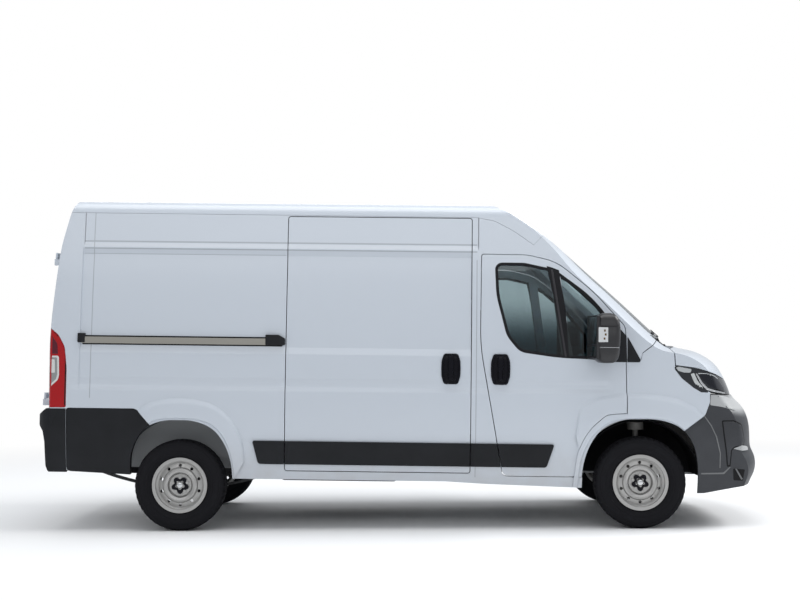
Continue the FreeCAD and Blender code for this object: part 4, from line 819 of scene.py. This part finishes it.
for key in WHEEL_PLACES:
    side = -1.0 if key.endswith("right") else 1.0
    cap = loft([cap_ring(scale, across, side) for scale, across in CAP_ROWS])
    add_piece("wheel_cap_" + key, at_wheel(cap, key), GLOSS_BLACK, "wheel_" + key)
    boss = spun([(radius, side * across) for radius, across in BOSS_PROFILE], 40)
    add_piece("wheel_boss_" + key, at_wheel(boss, key), BRIGHT, "wheel_" + key)

# Tail lamps: red moulding with a smoked field above and a clear reversing field,
# which has a bright bezel round it, let into the lamp's rear half.
LAMP_CLEAR = ((-2712, 1255), (-2622, 1255, 10), (-2618, 1128, 10), (-2626, 1094, 30), (-2712, 1010))
LAMP_BEZEL = ((-2712, 1268), (-2610, 1268, 14), (-2605, 1123, 16), (-2613, 1088, 40), (-2712, 992))
LAMP_GRILLE = ((-2700, 1240), (-2640, 1240, 6), (-2636, 1140, 6), (-2700, 1140))
LAMP_SMOKED = ((-2712, 1418), (-2668, 1418, 20), (-2624, 1360, 60), (-2618, 1282), (-2712, 1282))
LAMP_EDGE = (
    (-2682, 1478), (-2645, 1455), (-2612, 1419), (-2580, 1372), (-2558, 1315), (-2553, 1180),
    (-2553, 886), (-2562, 886), (-2562, 1180), (-2568, 1310), (-2590, 1366), (-2622, 1412),
    (-2655, 1446), (-2690, 1466),
)
# Where rays start for each way of looking, and their sense along Y or X
NEAR_SKIN = {"side": 950, "inside": 950, "front": 0.0, "rear": 0.0, "bay": 0.0}
RAYS = {"side": (1600, -1), "inside": (700, 1), "front": (3.4, -1), "rear": (-3.4, 1), "bay": (-2.0, -1)}
SAME_SURFACE = 0.006


def surface_of(*names, way="side", reach=0.0):
    """Where thin pieces lie on some CAD nodes, found by rays cast in from outside.

    From the side an outline's two values are the level x and z, and from the front or
    rear the y and z above the ground.
    Rays a little to each side bridge the open joints between nodes.
    """
    shell = bmesh.new()
    for name in names:
        shell.from_mesh(nodes[name].data)
    tree = BVHTree.FromBMesh(shell)
    shell.free()
    level = way in ("side", "inside")
    away, sense = RAYS[way]

    def spot(u, v, side, off):
        return in_row(u, side * off, v) if level else Vector((off, side * u / 1000, v / 1000))

    def inward(side):
        return Vector((0.0, side * sense, 0.0)) if level else Vector((sense, 0.0, 0.0))

    def cast(u, v, side):
        hit, normal, _, far = tree.ray_cast(spot(u, v, side, away), inward(side))
        return (far, hit, normal) if hit else None

    def place(u, v, lift, side):
        tries = [cast(u, v, side)]
        if reach:
            tries += [cast(u + a, v + b, side) for a, b in ((reach, 0), (-reach, 0), (0, reach), (0, -reach))]
        found = [each for each in tries if each]
        if not found:
            hit, normal, _, _ = tree.find_nearest(spot(u, v, side, NEAR_SKIN[way]))
            return hit + normal * (lift / 1000)
        nearest = min(found, key=lambda each: each[0])
        first = tries[0] or nearest
        _, hit, normal = first if first[0] - nearest[0] < SAME_SURFACE else nearest
        own = spot(u, v, side, 1000 if level else 0.0)
        hit = Vector((own.x, hit.y, own.z)) if level else Vector((hit.x, own.y, own.z))
        if normal.dot(inward(side)) > 0:
            normal = -normal
        return hit + normal * (lift / 1000)

    return place


SMOKED = pane("smoked_red", (0.09, 0.006, 0.016), 0.10, 0.0)
LAMP_WHITE = pane("lamp_white", (0.62, 0.63, 0.62), 0.15, 0.0)
LAMP_GREY = pane("lamp_grey", (0.26, 0.27, 0.27), 0.12, 0.0)
on_tail = surface_of("tail_lamps")
TAIL_FIELDS = (
    ("bezel", LAMP_BEZEL, 1.0, LAMP_WHITE), ("clear", LAMP_CLEAR, 1.8, LAMP_GREY),
    ("bars", LAMP_GRILLE, 2.4, LAMP_WHITE), ("smoked", LAMP_SMOKED, 1.2, SMOKED), ("edge", LAMP_EDGE, 1.0, SEAL),
)
FIELD_FOOT = -2.0
for name, side in SIDES:
    for label, line, high, material in TAIL_FIELDS:
        lay("tail_lamp_" + label + "_" + name, [line], (FIELD_FOOT, high), side, material, "body",
            on_tail, 20.0, 0.5)

# Headlamps: dark glossy units under one lens, with a bright slit along the top rear edge
# and an L-shaped running light between the two lens fields, and a painted highlight along the top of the dark field.
HEAD_TAIL = (
    (2001, 1238, 4), (2029, 1249, 10), (2110, 1236), (2150, 1150), (2240, 1078), (2252, 1051, 4),
    (2199, 1053, 20), (2143, 1085, 60), (2056, 1154, 60), (2005, 1219, 8),
)
HEAD_SLIT = (
    (2010, 1235, 6), (2036, 1241, 20), (2128, 1224, 6), (2120, 1198, 8), (2072, 1198, 30), (2030, 1210, 14),
)
HEAD_RUNNING = (
    (2121, 1188, 6), (2146, 1196, 8), (2172, 1138, 30), (2218, 1084, 8), (2188, 1078, 8), (2148, 1124, 30),
)
HEAD_LINE = (
    (2158, 1190, 2), (2170, 1190, 2), (2208, 1126, 30), (2252, 1082, 30), (2312, 1066, 40), (2398, 1050, 4),
    (2394, 1040, 2), (2309, 1054, 40), (2242, 1070, 30), (2196, 1118, 30),
)
HEAD_FIELD = (
    (2178, 1190, 8), (2240, 1190, 30), (2300, 1174, 60), (2356, 1136, 60), (2398, 1080, 20), (2396, 1058, 6),
    (2320, 1074, 40), (2268, 1090, 30), (2216, 1132, 30),
)
# Painted highlight: a pale line just inside the top edge of the dark lens field, named rim.
HEAD_TOP_HIGHLIGHT = (
    (2176, 1196, 2), (2238, 1195, 30), (2300, 1179, 40), (2338, 1156, 2), (2332, 1149, 2), (2296, 1170, 40),
    (2236, 1184, 30), (2180, 1187, 2),
)
WHITE_LIGHT = pane("running_light", (0.50, 0.52, 0.52), 0.15, 0.0)
SLIT_AND_HIGHLIGHT_GREY = pane("slit_and_highlight_grey", (0.42, 0.44, 0.45), 0.18, 0.0)
DARK_LENS = pane("dark_lens", (0.006, 0.007, 0.012), 0.05, 0.0)
on_head = surface_of("headlamps", reach=6.0)
on_nose = surface_of("headlamps", "front_wings", "bonnet", reach=9.0)
HEAD_FIELDS = (
    ("slit", HEAD_SLIT, 2.2, SLIT_AND_HIGHLIGHT_GREY, on_nose), ("running", HEAD_RUNNING, 2.0, WHITE_LIGHT, on_head),
    ("line", HEAD_LINE, 2.0, BRIGHT, on_head), ("field", HEAD_FIELD, 2.0, DARK_LENS, on_head),
    ("rim", HEAD_TOP_HIGHLIGHT, 1.6, SLIT_AND_HIGHLIGHT_GREY, on_head),
)
for name, side in SIDES:
    lay("headlamp_tail_" + name, [HEAD_TAIL], (-3.0, 1.0), side, LENS, "body", on_nose, 12.0, 0.4)
    for label, line, high, material, place in HEAD_FIELDS:
        lay("headlamp_" + label + "_" + name, [line], (FIELD_FOOT, high), side, material, "body",
            place, 12.0, 0.4)

# Front bumper trims: a pale band of painted reflection under the lamp, a let-in corner cover in its groove,
# with a black strip of painted shade for the groove, a painted highlight on the step's edge, painted
# highlights along the two creases and the dark corner intake with its strut, all moulded plastic clipped to the
# bumper.
COVER_LINE = (
    (2362, 836, 8), (2442, 838, 20), (2500, 812, 30), (2528, 690, 20), (2516, 666, 10), (2450, 652, 10),
    (2426, 628, 10), (2420, 516, 4), (2408, 512, 4), (2396, 620, 30), (2378, 730, 60),
)
# Painted shade: a black strip a little wider than the cover, standing for its groove.
COVER_GROOVE_SHADE = (
    (2352, 846, 10), (2444, 848, 24), (2508, 820, 34), (2537, 690, 24), (2522, 658, 10), (2454, 643, 10),
    (2434, 624, 10), (2427, 500, 4), (2400, 500, 4), (2386, 620, 30), (2368, 730, 60),
)
# Painted highlight: a pale strip on the step's up-facing edge.
STEP_HIGHLIGHT = ((2443, 636, 2), (2505, 662, 20), (2570, 650, 20), (2570, 622, 2), (2510, 622, 10))
# Painted reflection: a pale band on the bumper's upper faces under the lamp.
UPPER_REFLECTION_BAND = (
    (2270, 1034, 4), (2324, 1034, 20), (2404, 1020, 40), (2450, 1000), (2462, 921),
    (2443, 926), (2354, 946, 40), (2266, 959, 8),
)
# Painted highlight: a thin pale line along the upper crease.
CREASE_HIGHLIGHT = (
    (2226, 880, 1), (2276, 812, 30), (2320, 725, 60), (2351, 603, 60), (2353, 490, 1), (2346, 490, 1),
    (2344, 601, 60), (2312, 722, 60), (2269, 808, 30), (2220, 875, 1),
)
STRUT = ((2462, 486, 1), (2474, 486, 1), (2523, 410, 1), (2511, 404, 1))
# Painted highlight: a thin pale line along the lower crease.
LOWER_CREASE_HIGHLIGHT = ((2212, 450, 1), (2376, 456, 10), (2424, 502, 2), (2428, 496, 2), (2382, 444, 10), (2212, 440, 1))
INTAKE_LINE = ((2448, 486, 6), (2535, 480, 4), (2524, 396, 4), (2455, 398, 6))
on_bumper = surface_of("front_bumper", reach=8.0)
# Pale grey for the painted reflection and the step's painted highlight, and a mid grey for the creases' painted
# highlights and the strut's own colour.
PAINTED_LIGHT_GREY = moulded_plastic("bumper_painted_light", (0.36, 0.37, 0.375), (0.44, 0.45, 0.455), 0.45)
CREASE_HIGHLIGHT_AND_STRUT_GREY = moulded_plastic("crease_highlight_and_strut_grey", (0.13, 0.135, 0.14), (0.19, 0.195, 0.20), 0.45)
INTAKE_BLACK = moulded_plastic("intake_black", (0.004, 0.004, 0.005), (0.008, 0.008, 0.009), 0.7)
BUMPER_TRIMS = (
    ("groove_shade", COVER_GROOVE_SHADE, 0.8, INTAKE_BLACK), ("cover", COVER_LINE, 4.0, BUMPER_GREY),
    ("step", STEP_HIGHLIGHT, 3.0, PAINTED_LIGHT_GREY), ("band", UPPER_REFLECTION_BAND, 1.5, PAINTED_LIGHT_GREY),
    ("lower_crease", LOWER_CREASE_HIGHLIGHT, 2.0, CREASE_HIGHLIGHT_AND_STRUT_GREY), ("crease", CREASE_HIGHLIGHT, 1.8, CREASE_HIGHLIGHT_AND_STRUT_GREY),
    ("intake", INTAKE_LINE, 1.5, INTAKE_BLACK), ("strut", STRUT, 6.0, CREASE_HIGHLIGHT_AND_STRUT_GREY),
)
for name, side in SIDES:
    for label, line, high, material in BUMPER_TRIMS:
        lay("bumper_" + label + "_" + name, [line], (FIELD_FOOT, high), side, material, place=on_bumper, cell=20.0,
            bevel=1.0 if high > 2.5 else 0.4)


# Door rail: the black plastic end caps of the sliding door's runner rail, screwed over its
# ends, and a dark strip of painted shade in the groove that the metal rail lies in.
def oblong(u0, u1, v0, v1, radius):
    """The four corners of a rectangle with one corner radius."""
    return ((u0, v0, radius), (u1, v0, radius), (u1, v1, radius), (u0, v1, radius))


REAR_CAP = oblong(-2471, -2415, 1371, 1441, 6)
FRONT_CAP = ((-1058, 1366, 6), (-911, 1366, 10), (-911, 1416, 10), (-960, 1444, 10), (-1058, 1444, 6))
# Painted shade: a dark strip under the skin that darkens the groove round the rail.
RAIL_GROOVE_SHADE = oblong(-2440, -930, 1356, 1426, 8)
lay("rail_caps", [REAR_CAP, FRONT_CAP], (-12.0, 16.0), -1.0, DARK, bevel=3.0)
lay("rail_groove_shade", [RAIL_GROOVE_SHADE], (-13.0, -11.2), -1.0, SEAL, bevel=0.0)

# Wheel-arch flares: pressed crescents over the arches, part of the painted panels, with a
# rounded shoulder along their outer line and a rolled lip along the arch's edge.
FRONT_EDGE = (
    (1290, 331), (1298, 400), (1304, 470), (1316, 540), (1335, 602), (1361, 660), (1398, 718), (1442, 766),
    (1490, 803), (1545, 829), (1600, 842), (1642, 849), (1652, 850), (1740, 853), (1830, 852), (1900, 848),
    (1960, 834), (2010, 812), (2045, 790), (2074, 770),
)
FRONT_CREST = (
    (1256, 331), (1254, 400), (1255, 470), (1256, 560), (1260, 640), (1266, 730), (1277, 820), (1296, 905),
    (1336, 955), (1405, 997), (1500, 1024), (1642, 1040), (1652, 1040), (1740, 1042), (1830, 1036), (1958, 1020),
    (2064, 993), (2143, 951), (2190, 912), (2222, 882),
)
REAR_EDGE = (
    (-1921, 766), (-1878, 789), (-1815, 804), (-1750, 808), (-1679, 809), (-1620, 807), (-1567, 802), (-1515, 789),
    (-1468, 771), (-1430, 745), (-1400, 717), (-1372, 684), (-1351, 649), (-1334, 612), (-1321, 575), (-1307, 530),
    (-1297, 487), (-1289, 430), (-1284, 385), (-1282, 365),
)
REAR_CREST = (
    (-2012, 869), (-1973, 901), (-1911, 930), (-1817, 953), (-1718, 963), (-1660, 962), (-1600, 958), (-1550, 950),
    (-1506, 941), (-1455, 923), (-1412, 902), (-1378, 878), (-1349, 853), (-1322, 826), (-1299, 798), (-1276, 765),
    (-1255, 730), (-1230, 670), (-1210, 590), (-1202, 500),
)
DOOR_LINE = (
    (1256, 331), (1262, 400), (1268, 440), (1274, 500), (1283, 560), (1297, 612), (1322, 674), (1352, 726),
    (1392, 778), (1447, 830), (1508, 873), (1642, 886), (1652, 886),
)
# Distance in from the crest line, or back from the edge line if below 0, and the lift there
SHOULDER = ((0.0, 0.2), (7.0, 2.4), (16.0, 8.6), (26.0, 14.4), (36.0, 17.4), (54.0, 18.5))
LIP = ((-20.001, 19.0), (-9.001, 19.0), (-3.001, 16.0), (-0.001, 9.0), (-0.001, -22.0))
DOOR_FOOT = ((-14.0, 18.5), (-5.0, 18.5), (-4.0, 16.0), (-4.0, 0.2))
LIP_START = ((0.0, 0.2), (1.0, 17.0))
SKIN_CLEAR = 0.2
CURVE_PARTS = 4
FLARES = (
    ("rear_flare_", REAR_CREST, REAR_EDGE, SHOULDER + LIP),
    ("front_flare_", FRONT_CREST[12:], FRONT_EDGE[12:], SHOULDER + LIP),
    ("door_flare_", FRONT_CREST[5:11] + ((1645, 1040),), DOOR_LINE[5:11] + ((1645, 886),), SHOULDER[:5] + DOOR_FOOT),
    ("arch_lip_", DOOR_LINE, FRONT_EDGE[:13], LIP_START + LIP),
)


def facing_out(bm, side):
    """Turns an open skin's faces away from the van's middle."""
    bmesh.ops.recalc_face_normals(bm, faces=bm.faces)
    if sum(f.normal.y * f.calc_area() for f in bm.faces) * side < 0:
        bmesh.ops.reverse_faces(bm, faces=bm.faces)
    return bm


def swell(crest, edge, side, stations):
    """The skin of a flare between its crest line and its edge line."""
    rows = []
    for distance, lift in stations:
        row = []
        for (cx, cz), (ex, ez) in zip(crest, edge):
            reach = math.hypot(ex - cx, ez - cz)
            share = distance / reach if distance >= 0 else 1 + distance / reach
            row.append(skin(cx + (ex - cx) * share, cz + (ez - cz) * share, SKIN_CLEAR + lift, side))
        rows.append(row)
    return facing_out(loft(rows, closed=False), side)


def smooth_line(points):
    """More points along a smooth curve through the given ones."""
    dense = []
    for index in range(len(points) - 1):
        before = Vector(points[max(index - 1, 0)])
        start = Vector(points[index])
        end = Vector(points[index + 1])
        after = Vector(points[min(index + 2, len(points) - 1)])
        for part in range(CURVE_PARTS):
            t = part / CURVE_PARTS
            bend = (2 * start + (end - before) * t + (2 * before - 5 * start + 4 * end - after) * t * t
                    + (3 * start - before - 3 * end + after) * t ** 3)
            dense.append(tuple(bend / 2))
    return dense + [points[-1]]


for name, side in SIDES:
    for label, crest, edge, stations in FLARES:
        flare = swell(smooth_line(crest), smooth_line(edge), side, stations)
        body = "cab_door_" + name if label == "door_flare_" else "body"
        add_piece(label + name, flare, PAINT, body)

# Rear corner: a black strip of painted shade behind the upright joint of the bumper's corner, and the rubber
# that closes the joint all round the sliding door, which also stands for the shade in the door's gap.
CORNER_JOINT_SHADE = oblong(-2566, -2534, 404, 878, 0)
for name, side in SIDES:
    lay("corner_joint_shade_" + name, [CORNER_JOINT_SHADE], (-16.0, -4.0), side, SEAL, bevel=0.0)
slide_line = rounded(oblong(-905, 486, 425, 2343, 18))
door_seal_and_shade = band(shrunk(slide_line, -6.0), shrunk(slide_line, 6.0), -19.0, -13.5, -1.0, 0.0)
add_piece("sliding_door_seal_and_shade", door_seal_and_shade, SEAL, "body")

# Seats: a driver's seat and a two-place bench, foam pads in dark woven cloth on steel frames,
# with sewn bolsters, and head restraints that stand on two bright posts each.
SEATS = {"driver_seat": (225.0, 715.0, (470.0,)), "bench_seat": (-835.0, -20.0, (-620.0, -235.0))}
CUSHION_LINE = ((1116, 812, 30), (1116, 930, 40), (736, 916, 30), (716, 812, 20))
BACK_LINE = ((656, 834, 20), (776, 834, 20), (766, 968, 60), (651, 1476, 40), (574, 1476, 30))
REST_LINE = ((556, 1528, 26), (626, 1528, 26), (622, 1668, 30), (560, 1668, 26))
REST_HALF = 108.0
VOXEL = 0.014
SOFT_FRAMES = 16
PRESSURE = 4.0
SWELL = 0.010
SEAM_DEPTH = 0.0035
SEAM_REACH = 0.014
SEAM_SHIFT = 135.0
WEAVE_SCALE = 260.0
WEAVE_DEPTH = 0.0006
POST_TOP_Z = 1507.0
POST_X = 590.0


def woven_cloth(name, colour, thread):
    """Cloth with a fine over and under weave."""
    material, tree, shader = new_material(name, {"Roughness": 0.9, "Sheen Weight": 0.25, "Specular IOR Level": 0.15})
    weave = 0.0
    for way in ("X", "Y", "Z"):
        wave = add_node(tree, "TexWave", {
            "Vector": own_place(tree), "Scale": WEAVE_SCALE, "Distortion": 0.6,
        }, bands_direction=way)
        weave = reckon(tree, "MAXIMUM", weave, wave.outputs["Fac"])
    feed(tree, shader, {"Base Color": blend(tree, weave, colour, thread)})
    relief(tree, shader, weave, WEAVE_DEPTH)
    return material


def prism(corners, y0, y1, bevel):
    """A side-view outline drawn out across the van, in body millimetres."""
    bm = bmesh.new()
    bmesh.ops.contextual_create(bm, geom=flat_outline(bm, rounded(corners)))
    bmesh.ops.translate(bm, vec=(0.0, y0, 0.0), verts=bm.verts)
    grown = bmesh.ops.extrude_face_region(bm, geom=bm.faces[:], use_keep_orig=True)["geom"]
    bmesh.ops.translate(bm, vec=(0.0, y1 - y0, 0.0), verts=verts_of(grown))
    bmesh.ops.recalc_face_normals(bm, faces=bm.faces)
    soften(bm, [e for e in bm.edges if e.calc_face_angle(0.0) > SHARP_ANGLE], bevel)
    return bm


def as_mesh(piece):
    """The piece's mesh with its modifiers worked in."""
    depsgraph = bpy.context.evaluated_depsgraph_get()
    return bpy.data.meshes.new_from_object(piece.evaluated_get(depsgraph))


def stuffed(bm, seams):
    """A pad blown up a little inside its cover, and drawn in along its sewn seams."""
    mesh = bpy.data.meshes.new("pad")
    bm.to_mesh(mesh)
    bm.free()
    pad = link_object("pad", mesh)
    remesh = pad.modifiers.new("even", "REMESH")
    remesh.mode = "VOXEL"
    remesh.voxel_size = VOXEL
    even = as_mesh(pad)
    pad.modifiers.clear()
    pad.data = even
    start = [v.co.copy() for v in even.vertices]
    cloth = pad.modifiers.new("cloth", "CLOTH")
    cloth.settings.use_pressure = True
    cloth.settings.uniform_pressure_force = PRESSURE
    cloth.settings.effector_weights.gravity = 0.0
    for frame_number in range(1, SOFT_FRAMES + 1):
        bpy.context.scene.frame_set(frame_number)
    blown = as_mesh(pad)
    pad.modifiers.clear()
    bpy.context.scene.frame_set(1)
    for vert, before in zip(blown.vertices, start):
        move = vert.co - before
        vert.co = before + move * min(1.0, SWELL / max(move.length, 1e-9))
    pad.data = blown
    soft = bmesh.new()
    soft.from_mesh(pad.data)
    bpy.data.objects.remove(pad)
    bmesh.ops.recalc_face_normals(soft, faces=soft.faces)
    bmesh.ops.smooth_vert(soft, verts=soft.verts, factor=0.5, use_axis_x=True, use_axis_y=True, use_axis_z=True)
    soft.normal_update()
    for vert in soft.verts:
        nearest = min(abs(vert.co.y - seam) for seam in seams)
        if nearest < SEAM_REACH and abs(vert.normal.y) < 0.5:
            vert.co -= vert.normal * SEAM_DEPTH * (1.0 - nearest / SEAM_REACH)
    return soft


CLOTH_DARK = woven_cloth("woven_seat_cloth", (0.020, 0.021, 0.026), (0.045, 0.047, 0.055))
for seat, (y0, y1, places) in SEATS.items():
    for label, line in (("cushion", CUSHION_LINE), ("back", BACK_LINE)):
        seams = [(centre + shift) / 1000 for centre in places for shift in (-SEAM_SHIFT, SEAM_SHIFT)]
        shape = placed(prism(line, y0 + 14, y1 - 14, 34.0))
        pad = add_piece(seat + "_" + label, stuffed(shape, seams), CLOTH_DARK, "body", 70.0)
        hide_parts(seat)
    for number, centre in enumerate(places):
        tag = seat + "_rest" + ("_" + str(number + 1) if len(places) > 1 else "")
        shape = placed(prism(REST_LINE, centre - REST_HALF, centre + REST_HALF, 26.0))
        rest = add_piece(tag, stuffed(shape, [centre / 1000]), CLOTH_DARK, "body", 70.0)
        posts = []
        for across in (-44.0, 44.0):
            post = bmesh.new()
            bmesh.ops.create_cone(post, cap_ends=True, segments=16, radius1=6.0, radius2=6.0, depth=110.0)
            bmesh.ops.translate(post, vec=(POST_X, centre + across, POST_TOP_Z), verts=post.verts)
            posts.append(placed(post))
        add_piece(tag + "_posts", join(*posts), BRIGHT, "body")

# Wipers: two black metal arms on spindles in the scuttle, with rubber blades that lie along
# the foot of the windscreen.
WIPER_BLADES = (
    ((-700, 1462, 2), (-140, 1486, 2), (-138, 1470, 2), (-700, 1446, 2)),
    ((60, 1462, 2), (660, 1478, 2), (660, 1462, 2), (60, 1446, 2)),
)
WIPER_ARMS = (
    ((-640, 1412, 3), (-400, 1486, 3), (-392, 1470, 3), (-628, 1394, 3)),
    ((150, 1412, 3), (380, 1480, 3), (388, 1464, 3), (160, 1394, 3)),
)
on_screen = surface_of("windscreen", "scuttle", way="front")
lay("wiper_blades", WIPER_BLADES, (0.5, 5.0), 1.0, SEAL, place=on_screen, cell=40.0)
lay("wiper_arms", WIPER_ARMS, (4.0, 9.0), 1.0, DARK, place=on_screen, cell=40.0)

# Rear doors: a black plastic pull handle in its recess on the door that opens first, and one
# high brake light near the top edge of the other, both screwed on.
REAR_HANDLE = oblong(-250, -70, 1040, 1180, 18)
REAR_PULL = oblong(-232, -90, 1076, 1110, 10)
BRAKE_LIGHT = oblong(30, 230, 2336, 2366, 8)
on_right = surface_of("rear_door_right", way="rear")
on_left = surface_of("rear_door_left", way="rear")
lay("rear_handle_recess", [REAR_HANDLE], (-1.0, 4.0), 1.0, DARK, "rear_door_right", place=on_right, bevel=1.5)
lay("rear_handle", [REAR_PULL], (3.0, 20.0), 1.0, GLOSS_BLACK, "rear_door_right", place=on_right, bevel=4.0)
lay("high_brake_light", [BRAKE_LIGHT], (-1.0, 6.0), 1.0, RED, "rear_door_left", on_left, bevel=1.5)

# Door linings: grey moulded cards with an arm rest and pocket on the cab doors, and plain
# grey boards on the rear doors, which show when the doors are open.
CARD_LINE = ((660, 620, 60), (1150, 560, 200), (1330, 880, 200), (1600, 960, 40), (1600, 1255, 20), (640, 1255, 40))
REST_PAD = ((700, 1010, 20), (1180, 1010, 30), (1240, 1085, 20), (700, 1085, 20))
POCKET = ((720, 640, 20), (1090, 610, 30), (1120, 760, 30), (720, 780, 20))
BOARD_LINE = ((130, 760, 40), (820, 760, 40), (800, 2200, 60), (130, 2200, 60))
for name, side in SIDES:
    on_card = surface_of("cab_door_" + name, way="inside")
    card = slab(CARD_LINE, -1.0, 5.0, side, on_card, bevel=1.5)
    rest = slab(REST_PAD, 4.0, 22.0, side, on_card, bevel=4.0)
    pocket = slab(POCKET, 4.0, 18.0, side, on_card, bevel=4.0)
    add_piece("door_card_" + name, join(card, rest, pocket), DASH, "cab_door_" + name)
    on_board = surface_of("rear_door_" + name, way="bay")
    lay("rear_door_board_" + name, [BOARD_LINE], (-1.0, 4.0), side, LINER, "rear_door_" + name,
        on_board)

# Cab details: a blank black screen and four air outlets in the dashboard's face, and the
# moulded gear lever that stands on the console.
SCREEN = oblong(-110, 110, 1190, 1300, 10)
OUTLETS = [oblong(y0, y1, 1215, 1290, 14) for y0, y1 in ((-880, -760), (760, 880), (-250, -140), (140, 250))]
LEVER_ROWS = ((1120, 26), (1140, 10), (1190, 8), (1200, 15), (1222, 21), (1240, 18), (1248, 8))
LEVER_X = 1283
LEVER_LEAN = 0.35
on_dash = surface_of("dashboard", way="rear")
lay("dash_screen", [SCREEN], (-1.0, 5.0), 1.0, FRIT, "body", on_dash, 40.0)
lay("dash_outlets", OUTLETS, (-1.0, 4.0), 1.0, INTAKE_BLACK, "body", on_dash, 30.0)
rings = []
for z, r in LEVER_ROWS:
    foot = LEVER_X + LEVER_LEAN * (z - LEVER_ROWS[0][0])
    rings.append(rounded_ring(foot, foot + 2 * r, 40 - r, 40 + r, z, 2.0, 20))
add_piece("gear_lever", placed(loft(rings)), DASH, "body")

low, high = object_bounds()
sizes = {"cad": [list(CAD_LOW), list(CAD_HIGH)], "visual": [list(low), list(high)]}
